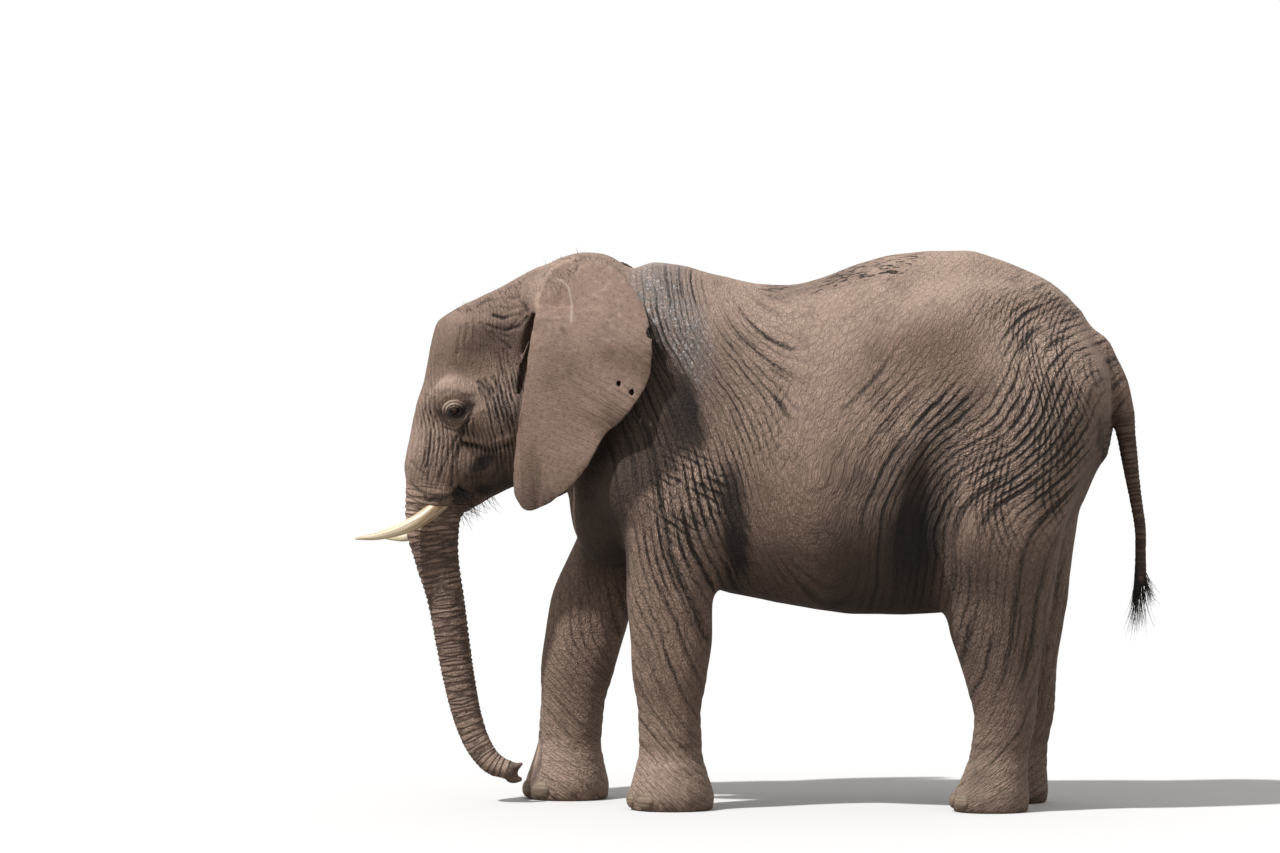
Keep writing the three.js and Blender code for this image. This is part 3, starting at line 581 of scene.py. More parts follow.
faceFolds = [  # depth, half-width, then the fold's line down the side of the face, y and z
    (7, 9, (-1246, 1908), (-1202, 1876), (-1170, 1826), (-1151, 1763), (-1139, 1700), (-1120, 1649)),
    (6, 8, (-1215, 1914), (-1164, 1857), (-1132, 1794), (-1113, 1731), (-1095, 1681)),
    (5, 8, (-1183, 1933), (-1132, 1851), (-1101, 1782), (-1085, 1718)),
    (5, 7, (-1240, 1883), (-1202, 1832), (-1183, 1769), (-1177, 1706), (-1164, 1655)),
    (5, 8, (-1265, 1807), (-1290, 1750), (-1322, 1700), (-1353, 1649), (-1391, 1561), (-1429, 1478)),
    (5, 8, (-1278, 1763), (-1315, 1687), (-1341, 1618), (-1366, 1529), (-1379, 1447)),
    (4, 7, (-1303, 1700), (-1322, 1649), (-1341, 1580), (-1353, 1478)),
    (4, 6, (-1398, 1700), (-1353, 1687), (-1315, 1706), (-1278, 1744)),
    (4, 6, (-1404, 1731), (-1366, 1712), (-1322, 1725), (-1290, 1763)),
    (3, 12, (-1410, 1857), (-1379, 1876), (-1341, 1870), (-1303, 1851), (-1265, 1851)),
    (9, 11, (-1309, 1630), (-1265, 1622), (-1227, 1608), (-1190, 1602), (-1140, 1618), (-1095, 1640)),
    (-9, 12, (-1312, 1656), (-1265, 1650), (-1227, 1640), (-1190, 1636), (-1140, 1650), (-1098, 1670)),
    (4, 6, (-1290, 1731), (-1290, 1655)), (4, 6, (-1265, 1744), (-1262, 1643)),
    (3, 6, (-1215, 1782), (-1213, 1720)),
    (7, 8, (-1186, 2214), (-1130, 2196), (-1065, 2212), (-1032, 2241)),
    (7, 8, (-1205, 2165), (-1177, 2150), (-1111, 2140), (-1065, 2157), (-1028, 2204)),
    (5, 7, (-1149, 2251), (-1102, 2241), (-1042, 2255)), (5, 8, (-1186, 2130), (-1130, 2088), (-1102, 2062)),
    (4, 8, (-1261, 2250), (-1214, 2274), (-1149, 2285), (-1074, 2288)),
    (5, 7, (-1065, 2275), (-1037, 2258), (-1022, 2230)), (4, 7, (-1240, 2173), (-1205, 2125), (-1165, 2085)),
    (4, 7, (-1177, 2135), (-1113, 2116)), (5, 7, (-1088, 2160), (-1050, 2211)),
    (3, 6, (-1492, 1845), (-1505, 1718), (-1517, 1592)), (4, 7, (-1467, 1832), (-1480, 1687), (-1492, 1529)),
    (4, 7, (-1448, 1750), (-1467, 1655), (-1476, 1561), (-1483, 1466)),
    (3, 6, (-1505, 1782), (-1524, 1655), (-1536, 1542)), (5, 8, (-1555, 1542), (-1498, 1491)),
    (5, 8, (-1568, 1440), (-1492, 1390)), (4, 8, (-1575, 1340), (-1511, 1321)),
    (6, 9, (-1486, 1371), (-1454, 1384), (-1410, 1384), (-1366, 1402)),
    (4, 6, (-1366, 1529), (-1376, 1416)), (4, 6, (-1341, 1510), (-1347, 1403)),
    (4, 6, (-1315, 1498), (-1315, 1403)), (4, 9, (-1177, 1592), (-1164, 1529), (-1183, 1478)),
    (4, 8, (-1145, 1592), (-1132, 1466)), (3, 7, (-1160, 2040), (-1120, 1930), (-1090, 1830)),
    (3, 7, (-1130, 2060), (-1095, 1960), (-1075, 1880)), (3, 8, (-1330, 2150), (-1342, 2040)),
    (3, 8, (-1300, 2170), (-1306, 2060)), (3, 8, (-1270, 2190), (-1262, 2080)),
]


def roundEye(y, z):  # how far each place is behind the eye, above it, and from it
    dy, dz = (y - eyeY - 3) / 1.15, z - eyeZ + 9
    return dy, dz, np.hypot(dy, dz)


def drawnOn(points, onEar):  # how deep the drawn folds of the face and the lids are, below zero in a groove
    depths = np.zeros(len(points))
    onFace = (points[:, 1] < -960) & (points[:, 2] > 1280) & (points[:, 2] < 2320) & (onEar < 0.5)
    points = points[onFace]
    y, z = points[:, 1] + 5 * ripple(points, 45), points[:, 2] + 5 * ripple(points + 77, 45)
    drawn = np.zeros(len(points))
    for depth, wide, *line in faceFolds:
        groove = np.exp(-(strokeDistance(y, z, line) / wide) ** 2)
        drawn -= 1.5 * depth * (0.75 + 0.5 * ripple(points, 70)) * groove
    _, above, radius = roundEye(points[:, 1], points[:, 2])
    radius = radius + 1.5 * ripple(points, 20)
    drawn *= np.where(radius < 50, 0, 1 - np.exp(-(np.maximum(radius - 50, 0) / 12) ** 2))
    upper = smoothStep(above, -3, 6)
    lid = 5.2 * creases(radius - 14, 14, 0.9) * upper * smoothStep(radius, 13, 18)
    drawn -= lid * smoothStep(58 - radius, 0, 10)
    lid = 4.2 * creases(radius - 19, 13, 1.0) * (1 - upper) * smoothStep(radius, 16, 22)
    drawn -= lid * smoothStep(72 - radius, 0, 20)
    depths[onFace] = drawn * smoothStep(np.abs(points[:, 0]), 60, 150)
    return depths


foldSpacing, faceSpacing = 34, 21
foldPlaces = [  # where the hide folds most on the side: strength, middle, radii and tip
    (1.0, (640, 1620), (430, 560), -0.3), (1.3, (800, 1480), (190, 620), -0.2),  # flank
    (1.5, (1190, 1560), (470, 440)), (1.1, (1370, 1960), (380, 470)),  # thigh and rump
    (0.7, (1250, 2260), (400, 250)),
    (0.8, (-60, 1850), (420, 620), -0.5), (0.8, (-480, 1750), (220, 480), -0.29),  # shoulder
    (0.9, (-420, 2250), (260, 330)), (1.3, (-280, 1450), (240, 240)),  # neck, and over the elbow
    (0.9, (-100, 1300), (150, 420)), (1.3, (-370, 1220), (220, 300)),  # armpit and elbow
    (1.0, (-1370, 1560), (300, 330), 0.2), (1.4, (-1110, 1790), (150, 330)),  # face and cheek
    (0.4, (-1120, 2190), (190, 130)), (0.5, (-1480, 1800), (110, 420)),  # crown and root of the trunk
]
smoothPlaces = [  # where the hide folds least: behind the shoulder, over the ear and on the forehead
    (0.85, (290, 1760), (190, 620)), (0.9, (-935, 2350), (90, 190), -0.3), (0.6, (-1390, 2070), (170, 190)),
]


def foldDepth(y, z):
    limbs = smoothStep(1300 - z, 0, 300) * (0.55 - 0.25 * smoothStep(800 - z, 0, 300))
    strength = np.clip(patches(y, z, foldPlaces) + limbs, 0.15, 1.5)
    for share, *form in smoothPlaces:
        strength = strength * (1 - share * patch(y, z, *form))
    return strength


def wanderOf(points):
    return ripple(points, 300) * 26 + ripple(points, 110) * 8 + ripple(points, 45) * 2.5


def reliefOf(points, normals):  # how far each point of the skin stands out of the smooth flesh
    x, y, z = points.T
    across, along = lieChart.read(lieValues, y, z)
    onSide = smoothStep(np.abs(normals[:, 0]), 0.25, 0.7)
    wander = wanderOf(points)
    onHead = smoothStep(-y, 1000, 1080) * smoothStep(z, 1180, 1300)
    outline, earReach = earChart.read([earValues[2], earValues[0]], y, z)
    onEar = smoothStep(-outline, -12, 12) * smoothStep(np.abs(x) - earReach, -26, -12)
    away, share = trunk.chart.read(trunk.values, y, z)
    onTrunk = smoothStep(share, 0.17, 0.26) * (y < -1000) * (away < 190)
    tailAway, tailShare = tail.chart.read(tail.values, y, z)
    onTail = smoothStep(tailShare, 0.2, 0.32) * (tailAway < 95) * (y > 1560)
    body = (1 - np.maximum(onHead, onEar)) * (1 - onTrunk) * (1 - onTail)
    fold = foldDepth(y, z)

    relief = body * (5 * ripple(points, 300) + 2.5 * ripple(points + 400, 110))
    depth = fold * body * (0.35 + 0.65 * onSide) * (0.75 + 0.5 * ripple(points + 900, 130))
    relief -= 2.8 * depth * creases(across + wander, foldSpacing * 2, 0.8)
    relief -= depth * creases(along + wander, 84)
    relief -= 2.6 * fold * onHead * onSide * (1 - onEar) * creases(across + wander, faceSpacing, 0.8)
    # rings of the trunk and the tail
    ring = share * trunk.length + 14 * ripple(points, 90) + 6 * ripple(points + 300, 40)
    relief -= onTrunk * (2 + 3.5 * smoothStep(share, 0.95, 0.6)) * creases(ring, 38 - 14 * share, 1.6)
    relief -= onTail * 1.6 * creases(tailShare * tail.length + 8 * ripple(points, 60), 22, 1.5)
    # wrists, ankles and the pads above the nails
    limb = smoothStep(1250 - z, 0, 200) * (1 - onTrunk) * (1 - onTail) * smoothStep(z, 90, 160)
    relief -= limb * 2.2 * creases(z + 20 * ripple(points, 160), 55, 2) * smoothStep(700 - z, 0, 250)
    relief += drawnOn(points, onEar)
    relief += onHead * (1 - onEar) * (2 * ripple(points + 50, 120) + 1.2 * ripple(points, 45))
    return relief * smoothStep(z, 4, 40)  # the soles stay flat


# the skin

def normalsOf(points, faces):
    a, b = points[faces[:, 2]] - points[faces[:, 0]], points[faces[:, 3]] - points[faces[:, 1]]
    flat = np.cross(a, b)
    sums = [sum(np.bincount(faces[:, c], flat[:, n], len(points)) for c in range(4)) for n in range(3)]
    total = np.stack(sums, 1)
    return total / np.maximum(np.linalg.norm(total, axis=1, keepdims=True), 1e-9)


coatDepth = 2  # the smooth skin lies this far inside the flesh, to leave room for its bulges
faceCount = 196000
places, quads = meshOf(
    lambda x, y, z: carved(skinField(x, y, z) + coatDepth, z, 10),
    spaced((-700, -560, 8), (-560, -330, 5), (-330, -230, 4), (-230, 230, 8),
           (230, 330, 4), (330, 560, 5), (560, 700, 8)),
    spaced((-1680, -1410, 5.5), (-1410, -1290, 2.6), (-1290, -960, 5), (-960, -400, 7), (-400, 1860, 9)),
    spaced((-30, 1280, 9), (1280, 1735, 5.5), (1735, 1850, 2.6), (1850, 2200, 5.5), (2200, 2600, 8)),
)
tell(f"skin meshed, {len(places)} points, {len(quads)} faces")
normals = normalsOf(places, quads)
if (places[:, 0] * normals[:, 0]).sum() < 0:  # the faces are turned to point outwards
    quads = quads[:, ::-1]
    normals = -normals
places = places + normals * reliefOf(places, normals)[:, None]
tell("relief worked in")


def placed(name, data):  # an object in the scene, of a mesh, a camera or a light
    thing = bpy.data.objects.new(name, data)
    bpy.context.scene.collection.objects.link(thing)
    return thing


def meshObject(name, points, faces):
    mesh = bpy.data.meshes.new(name)
    points, faces = np.asarray(points, np.float32), np.asarray(faces, np.int32)
    sides = faces.shape[1]
    mesh.vertices.add(len(points))
    mesh.vertices.foreach_set("co", points.ravel())
    mesh.loops.add(faces.size)
    mesh.loops.foreach_set("vertex_index", faces.ravel())
    mesh.polygons.add(len(faces))
    mesh.polygons.foreach_set("loop_start", np.arange(0, faces.size, sides, dtype=np.int32))
    mesh.update(calc_edges=True)
    mesh.polygons.foreach_set("use_smooth", np.ones(len(faces), bool))
    return placed(name, mesh)


def applied(thing):  # the object with its modifiers worked into its mesh
    finished = bpy.data.meshes.new_from_object(thing.evaluated_get(bpy.context.evaluated_depsgraph_get()))
    thing.modifiers.clear()
    thing.data = finished
    finished.polygons.foreach_set("use_smooth", np.ones(len(finished.polygons), bool))
    return thing


skin = meshObject("skin", inFrame(places), quads)
thin = skin.modifiers.new("thin", "DECIMATE")
thin.ratio = min(1.0, faceCount / (2 * len(quads)))
x, y, z = places.T
face = (y < -1060) & (z > 1280) & (np.abs(x) > 120)
face |= (y < -790) & (y > -960) & (z > 2160) & (x > 150)  # the scarred top of the ear
for weight, part in ((1.0, ~face), (0.25, face)):  # these keep more of their points
    group = skin.vertex_groups.get("free") or skin.vertex_groups.new(name="free")
    group.add(np.flatnonzero(part).tolist(), weight, "REPLACE")
thin.vertex_group = "free"
thin.vertex_group_factor = 1.0
thin.use_collapse_triangulate = True
applied(skin)
skin.vertex_groups.clear()
tell(f"skin thinned to {len(skin.data.polygons)} faces")


def vertexValues(thing, what):
    values = np.zeros(len(thing.data.vertices) * 3, np.float32)
    thing.data.vertices.foreach_get(what, values)
    return values.reshape(-1, 3)


def pointsOf(thing):  # the points of a piece, back in millimetres
    return vertexValues(thing, "co").astype(float) * 1000 - (0, shiftY, 0)


def writeMark(thing, name, values):
    values = np.asarray(values, np.float32)
    kind = "FLOAT_VECTOR" if values.ndim == 2 else "FLOAT"
    mark = thing.data.attributes.new(name, kind, "POINT")
    mark.data.foreach_set("vector" if values.ndim == 2 else "value", values.ravel())


crossedPlaces = [  # where fine folds cross the long ones: strength, middle, radii and tip
    (1.0, (1190, 1440), (430, 370)), (0.9, (1380, 2020), (330, 440)), (0.7, (1250, 2250), (380, 240)),
    (1.6, (-275, 1435), (230, 260)), (0.2, (-420, 2250), (260, 330)), (0.5, (220, 1780), (330, 430)),
]
# painted light on the sunlit elbow and on the rump
paintedLightPlaces = [(0.35, (-265, 1455), (200, 210)), (0.25, (1300, 2050), (360, 420))]
paintedShadePlaces = [  # where shade is painted into the hide
    (0.85, (-1240, 1550), (90, 50), 0.5), (0.5, (-1290, 1405), (110, 60), 0.3),  # under the cheek
    (0.35, (-1150, 1440), (150, 80), 0.2),  # jaw
    (0.45, (-1290, 1800), (60, 60)), (0.3, (-1250, 1850), (80, 60)),  # behind the eye
    (0.6, (eyeY + 62, eyeZ + 12), (34, 44)),  # corner of the eye
    (0.7, (-1040, 1930), (36, 290), -0.16),  # slit before the ear
    (0.6, (770, 1360), (215, 470), -0.2), (0.4, (960, 1820), (90, 330), -0.75),  # before the thigh
    (0.3, (-200, 1900), (180, 380), -0.4), (0.25, (1480, 1580), (170, 450)),  # shoulder and buttock
]
earShadowEdge = (  # how far back the painted shadow of the ear reaches, at each height
    (1182, -558), (1331, -549), (1430, -505), (1455, -443), (1507, -355), (1590, -300),
    (1640, -180), (1722, -194), (1877, -245), (2066, -374), (2135, -443),
)
flakeRuns = ((40, 135, 55), (285, 490, 80), (530, 725, 110))  # mud on the back: from, to, how far down
scarLine = ((-892, 2375), (-862, 2362), (-836, 2333), (-813, 2259), (-810, 2194))


def paintedEarShadow(points):  # 1 on the hide where the ear's shadow is painted
    y, z = points[:, 1], points[:, 2]
    heights, edges = zip(*earShadowEdge)
    behind = np.interp(z, heights, edges) - y + 12 * ripple(points, 60)
    inEarShadow = smoothStep(behind, -12, 18) * smoothStep(2150 - z, 0, 60)
    return inEarShadow * smoothStep(z, 700, 1200) * smoothStep(y, -860, -780)


def bodyPaintedShade(points):  # painted shade on the hide off the ear, and a darker streak along the back
    y, z = points[:, 1], points[:, 2]
    # painted shade below the cheek and round the eye
    cheek = patch(y, z, (-1170, 1490), (165, 125), 0.3) + 0.12 * ripple(points, 55)
    shade = patches(y, z, paintedShadePlaces) + 0.55 * smoothStep(cheek, 0, 0.45) * (z < 1650)
    shade += 0.97 * np.exp(-np.hypot((y - eyeY - 8) / 44, (z - eyeZ + 12) / 29) ** 6)
    # the ear's shadow, painted into the hide
    shade += 0.76 * paintedEarShadow(points)
    # painted shade in the armpit, then along the belly from front to back, and darker towards the bottom of
    # the hind leg
    shade += 0.9 * smoothStep(patch(y, z, (-72, 1300), (78, 330), 0.08), 0, 0.5)
    shade += 0.2 * smoothStep(1420 - z, 0, 160) * smoothStep(y, 250, 400) * smoothStep(960 - y, 0, 60)
    shade += 0.34 * smoothStep(y, 250, 420) * smoothStep(930 - y, 0, 200) * smoothStep(1760 - z, 0, 300)
    shade += 0.1 * smoothStep(1500 - z, 0, 500) * (y > -300) * (y < 1000)
    shade += 0.26 * smoothStep(1400 - z, 0, 300) * smoothStep(y, 880, 980)
    streak = smoothStep(y, 20, 80) * smoothStep(470 - y, 0, 60) * smoothStep(85 - backAt(y) + z, 0, 45)
    return shade + 0.5 * streak * (0.6 + 0.4 * ripple(points, 40))


def earShade(y, z):
    shade = 0.55 * patch(y, z, (-850, 2150), (20, 34)) + 0.16 * patch(y, z, (-850, 1985), (150, 260), 0.2)
    return shade + 0.22 * smoothStep(1650 - z, 0, 300) + 0.3 * smoothStep(1460 - z, 0, 90)


def flakesOf(y, z):
    below = backAt(y) - z
    flakes = np.zeros(len(y))
    for first, last, low in flakeRuns:
        span = smoothStep(y, first - 25, first + 25) * smoothStep(last - y, -25, 25)
        flakes += span * smoothStep(low - below, 0, 25) * smoothStep(below, -20, 10)
    return flakes


def lidsOf(y, z):  # 1 on the pale crests between the folds of the upper lid
    behind, above, radius = roundEye(y, z)
    lids = smoothStep(above, 2, 16) * smoothStep(radius, 24, 30)
    lids = lids * smoothStep(60 - radius, 0, 10) * smoothStep(20 - behind, 0, 30)
    return lids * (1 - creases(radius - 14, 14, 1.2))


def markSkin(thing):
    points, normal = pointsOf(thing), vertexValues(thing, "normal")
    x, y, z = points.T
    side = np.abs(x)
    across, along = lieChart.read(lieValues, y, z)
    outline, reach = earChart.read([earValues[2], earValues[0]], y, z)
    onEar = smoothStep(-outline, -14, 10) * smoothStep(side - reach, -40, -24)
    away, share = trunk.chart.read(trunk.values, y, z)
    onTrunk = smoothStep(share, 0.15, 0.27) * (y < -1000) * (away < 200)
    tailAway, tailShare = tail.chart.read(tail.values, y, z)
    onTail = smoothStep(tailShare, 0.22, 0.36) * (tailAway < 110) * (y > 1540)
    onHead = smoothStep(-y, 960, 1080) * smoothStep(z, 1180, 1300) * (1 - onEar)
    onSide = 0.3 + 0.7 * smoothStep(np.abs(normal[:, 0]), 0.1, 0.45)
    onEdge = smoothStep(y, -950, -600) * smoothStep(2330 - z, 0, 260) * (0.5 + 0.6 * ripple(points, 120))

    lie = np.c_[across + wanderOf(points), along, x]
    lie[onEar > 0.5] = np.c_[earLie(y, z) + wanderOf(points), y, x][onEar > 0.5]
    ringTrunk = np.c_[share * trunk.length, x, away + 3000]
    ringTail = np.c_[tailShare * tail.length, x, tailAway + 5000]
    # wet hide, its lighter bluish tone a painted sheen, none in the ear's painted shadow
    wetSheen = patch(y, z, (-385, 2190), (200, 400), 0.45) * (1 - onEar) * (1 - paintedEarShadow(points))
    # dust together with painted light: lighter where the hide faces up, on the elbow, rump, cheek and trunk,
    # less on top of the head, and dust on the lower legs
    dustAndLight = 0.46 + 0.46 * normal[:, 2] + patches(y, z, paintedLightPlaces)
    dustAndLight = dustAndLight + onHead * (0.2 * smoothStep(1790 - z, 0, 120) - 0.25 * smoothStep(z, 1900, 2150))
    dustAndLight = dustAndLight + 0.3 * smoothStep(600 - z, 0, 500) + 0.15 * onTrunk
    # painted shade on the body, the ear's darker spots and lower part, and the darker tail
    shade = bodyPaintedShade(points) * (1 - onEar) + onEar * earShade(y, z) + 0.35 * onTail
    scar = 0.5 * onEar * np.exp(-(strokeDistance(y, z, scarLine) / 5) ** 2) * (x > 0)
    marks = {
        "lie": lie / 1000,
        "ring": np.where(onTail[:, None] > 0, ringTail, ringTrunk) / 1000,
        "onEar": onEar, "onHead": onHead, "ringed": np.maximum(onTrunk, onTail),
        "folded": np.where(onEar > 0.5, 0.03 + 0.16 * onEdge, foldDepth(y, z) / 1.5 * onSide),
        "crossed": np.clip(1.4 * patches(y, z, crossedPlaces), 0, 1) * (1 - onEar) * onSide,
        "wetSheen": np.clip(1.5 * wetSheen, 0, 1), "dustAndLight": np.clip(dustAndLight, 0, 1), "shade": np.clip(shade, 0, 1),
        "drawn": np.clip(-drawnOn(points, onEar) / 8, 0, 1),
        "flaky": flakesOf(y, z) * (1 - onEar),
        "pale": scar + 0.5 * lidsOf(y, z) * (side > 200),
    }
    for name, values in marks.items():
        writeMark(thing, name, values)


markSkin(skin)
tell("skin marked")


class Wire:  # a value in a material, so that its sums are written as plain expressions
    def __init__(self, tree, socket=None):
        self.tree, self.socket = tree, socket

    def make(self, kind, settings=None, inputs=None, out=0):
        node = self.tree.nodes.new(kind)
        for name, value in (settings or {}).items():
            setattr(node, name, value)
        for name, value in (inputs or {}).items():
            if isinstance(value, Wire):
                self.tree.links.new(value.socket, node.inputs[name])
            else:
                node.inputs[name].default_value = value
        return Wire(self.tree, node.outputs[out])

    def sum(self, operation, *values):
        return self.make("ShaderNodeMath", {"operation": operation}, dict(enumerate(values)))

    def __add__(self, other):
        return self.sum("ADD", self, other)

    def __radd__(self, other):
        return self.sum("ADD", other, self)

    def __sub__(self, other):
        return self.sum("SUBTRACT", self, other)

    def __rsub__(self, other):
        return self.sum("SUBTRACT", other, self)

    def __mul__(self, other):
        return self.sum("MULTIPLY", self, other)

    def __rmul__(self, other):
        return self.sum("MULTIPLY", other, self)

    def __pow__(self, other):
        return self.sum("POWER", self, other)

    def mark(self, name, vector=False):
        return self.make("ShaderNodeAttribute", {"attribute_name": name}, out="Vector" if vector else "Fac")

    def scaled(self, *factors):
        return self.make("ShaderNodeVectorMath", {"operation": "MULTIPLY"}, {0: self, 1: factors})

    def moved(self, other):
        return self.make("ShaderNodeVectorMath", {"operation": "ADD"}, {0: self, 1: other})

    def noise(self, scale, detail=3, rough=0.55, out="Fac"):
        inputs = {"Vector": self, "Scale": scale, "Detail": detail, "Roughness": rough}
        return self.make("ShaderNodeTexNoise", {"noise_dimensions": "3D"}, inputs, out)

    def meshed(self, sizes, wide):  # 1 on the lines between cells of these sizes, 0 inside them
        settings = {"voronoi_dimensions": "3D", "feature": "DISTANCE_TO_EDGE"}
        inputs = {"Vector": self.scaled(*(1 / size for size in sizes)), "Scale": 1.0}
        return self.make("ShaderNodeTexVoronoi", settings, inputs).ramp(0.0, wide, 1.0, 0.0)

    def ramp(self, low, high, first=0.0, last=1.0):
        inputs = {"Value": self, 1: low, 2: high, 3: first, 4: last}
        return self.make("ShaderNodeMapRange", {"interpolation_type": "SMOOTHSTEP"}, inputs)

    def mix(self, first, last):  # two colours, by this value
        inputs = {0: self, 6: first, 7: last}
        return self.make("ShaderNodeMix", {"data_type": "RGBA", "clamp_factor": True}, inputs, out=2)

    def blend(self, first, last):  # two numbers, by this value
        inputs = {0: self, 2: first, 3: last}
        return self.make("ShaderNodeMix", {"data_type": "FLOAT", "clamp_factor": True}, inputs, out=0)

    def bump(self):
        return self.make("ShaderNodeBump", None, {"Height": self, "Distance": 1.0, "Strength": 1.0})


def colour(red, green, blue):  # a colour as seen on a screen, 0 to 255
    parts = [c / 255 for c in (red, green, blue)]
    return (*(c / 12.92 if c <= 0.04 else ((c + 0.055) / 1.055) ** 2.4 for c in parts), 1)


def material(name, **plain):
    made = bpy.data.materials.new(name)
    made.use_nodes = True
    shader = made.node_tree.nodes["Principled BSDF"]
    for key, value in plain.items():
        shader.inputs[key.replace("_", " ")].default_value = value
    return made, Wire(made.node_tree), shader


def feed(wire, shader, socket):
    wire.tree.links.new(wire.socket, shader.inputs[socket])


hideLook = {  # colours, the sizes of the folds and cells, and how deep each is, in metres
    # the darkest colour gives painted shade as well as dark stains and mud, the dusty colour also painted
    # light, and the glint a painted highlight
    "base": colour(146, 121, 107), "dustAndLightTone": colour(201, 174, 157), "dark": colour(92, 75, 66),
    "ear": colour(144, 119, 106), "wetSheen": colour(140, 131, 128), "shadeAndStainTone": colour(38, 30, 26),
    "pale": colour(196, 182, 166), "glint": colour(212, 209, 212),
    "long": foldSpacing / 1000, "fine": faceSpacing / 1000, "rare": 0.079, "crossing": 0.031,
    "net": (0.017, 0.065, 0.03), "cells": (0.009, 0.017, 0.012), "rings": (0.024, 0.16, 0.16),
    "foldDepth": 0.0095, "crossDepth": 0.00665, "netDepth": 0.005, "cellDepth": 0.0035,
    "ringDepth": 0.0075, "flakeDepth": 0.008, "grain": 0.0012,
}


def lines(value, spacing, sharp):  # 1 in grooves where the value is a whole number of spacings
    angle = value * (math.pi / spacing)
    return angle.sum("ABSOLUTE", angle.sum("COSINE", angle)) ** sharp


def hideGrooves(place, mark):  # each kind of groove and crack of the hide, 1 where it is deepest
    way = mark["lie"].moved(place.noise(22, 1, out="Color").scaled(0.009, 0.02, 0.009))
    across = way.make("ShaderNodeSeparateXYZ", None, {0: way})
    along = way.make("ShaderNodeSeparateXYZ", None, {0: way}, 1)
    onEar, onHead, crossed = mark["onEar"], mark["onHead"], mark["crossed"]
    seamless = 1 - onEar * (1 - onEar) * 4  # no pattern where the ear joins, as its lines run another way
    body = (1 - mark["ringed"]) * seamless
    smooth = onEar.blend(1.0, 0.3) * onHead.blend(1.0, 0.75) * seamless
    strength = mark["folded"] * body * mark["patches"].ramp(0.25, 0.65, 0.7, 1.2)

    gaps = way.scaled(11, 3.5, 4).noise(1.0, 1).ramp(0.36, 0.58, 0.35, 1.0)
    longLines = lines(across, hideLook["long"], 7.0) * gaps
    few = way.scaled(5, 1.6, 3).noise(1.0, 1).ramp(0.44, 0.56)
    rareLines = lines(across + 0.011, hideLook["rare"], 22.0) * few
    fineLines = lines(across, hideLook["fine"], 3.2) * gaps
    broken = way.scaled(4, 9, 4).noise(1.0, 1).ramp(0.38, 0.56, 0.1, 1.0)
    crossLines = lines(along * 0.8 + across * 0.6, hideLook["crossing"], 5.0) * broken
    fold = (onHead * strength) * fineLines + ((1 - onHead) * strength) * (longLines + rareLines * 0.8)
    fold = fold + rareLines * (1 - onHead) * (1 - onEar) * body * mark["folded"].ramp(0.05, 0.3, 0.0, 0.3)
    rings = mark["ring"].moved(place.noise(8, 2, out="Color").scaled(0.012, 0.03, 0.012))
    return {
        "strength": strength, "fold": fold, "cross": crossLines * crossed * body * (strength * 0.6 + 0.3),
        "net": way.meshed(hideLook["net"], 0.2) * (strength * 0.35 + 0.3) * smooth * body,
        "cell": way.meshed(hideLook["cells"], 0.3) * (strength * 0.3 + 0.5) * smooth,
        "ring": rings.meshed(hideLook["rings"], 0.24) * mark["ringed"],
        "flake": place.scaled(60, 15, 60).noise(1.0, 2, 0.65).ramp(0.55, 0.6) * mark["flaky"],
    }


def hideTone(place, mark, groove, speckle, grooveShadeAndMud):  # the hide's colour, one layer over another, with painted shade and painted light among them
    dustAndLight, wetSheen, onEar = mark["dustAndLight"], mark["wetSheen"], mark["onEar"]
    mottle, blotch = place.noise(60, 3, 0.75), place.noise(6, 3, 0.6)
    # a painted highlight on the crests between the grooves, where the dust lies
    crestHighlight = (groove["strength"] * 0.5 + mark["crossed"] * 0.3) * (1 - groove["fold"] * 1.6)
    crestHighlight = crestHighlight * (1 - groove["cross"] * 1.4)
    # dark where the hide faces down and light where it faces up: painted shade and light, with the dust
    tone = dustAndLight.ramp(0.0, 0.5).mix(hideLook["dark"], hideLook["base"])
    tone = (dustAndLight.ramp(0.45, 1.0) * mark["patches"].ramp(0.3, 0.6, 0.7, 1.0)).mix(tone, hideLook["dustAndLightTone"])
    tone = onEar.mix(tone, hideLook["ear"])
    layers = (
        (mottle.ramp(0.5, 0.66) * (onEar * 0.2 + 0.35), "dark"),
        (crestHighlight * dustAndLight.ramp(0.0, 0.4), "dustAndLightTone"),
        (blotch.ramp(0.5, 0.72) * 0.35, "dark"),
        # the tone of the wet hide, lighter and bluer as a painted sheen
        (wetSheen * speckle.ramp(0.3, 0.6), "wetSheen"),
        (speckle.ramp(0.48, 0.75) * dustAndLight * 0.5, "dustAndLightTone"),
        (mark["shade"], "shadeAndStainTone"),
        (grooveShadeAndMud * 0.9, "shadeAndStainTone"),
        (mark["pale"], "pale"),
        # painted glints on the wet hide
        (wetSheen * place.noise(70, 2, 0.7).ramp(0.57, 0.65) * (1 - grooveShadeAndMud), "glint"),
    )
    for cover, name in layers:
        tone = cover.mix(tone, hideLook[name])
    return tone


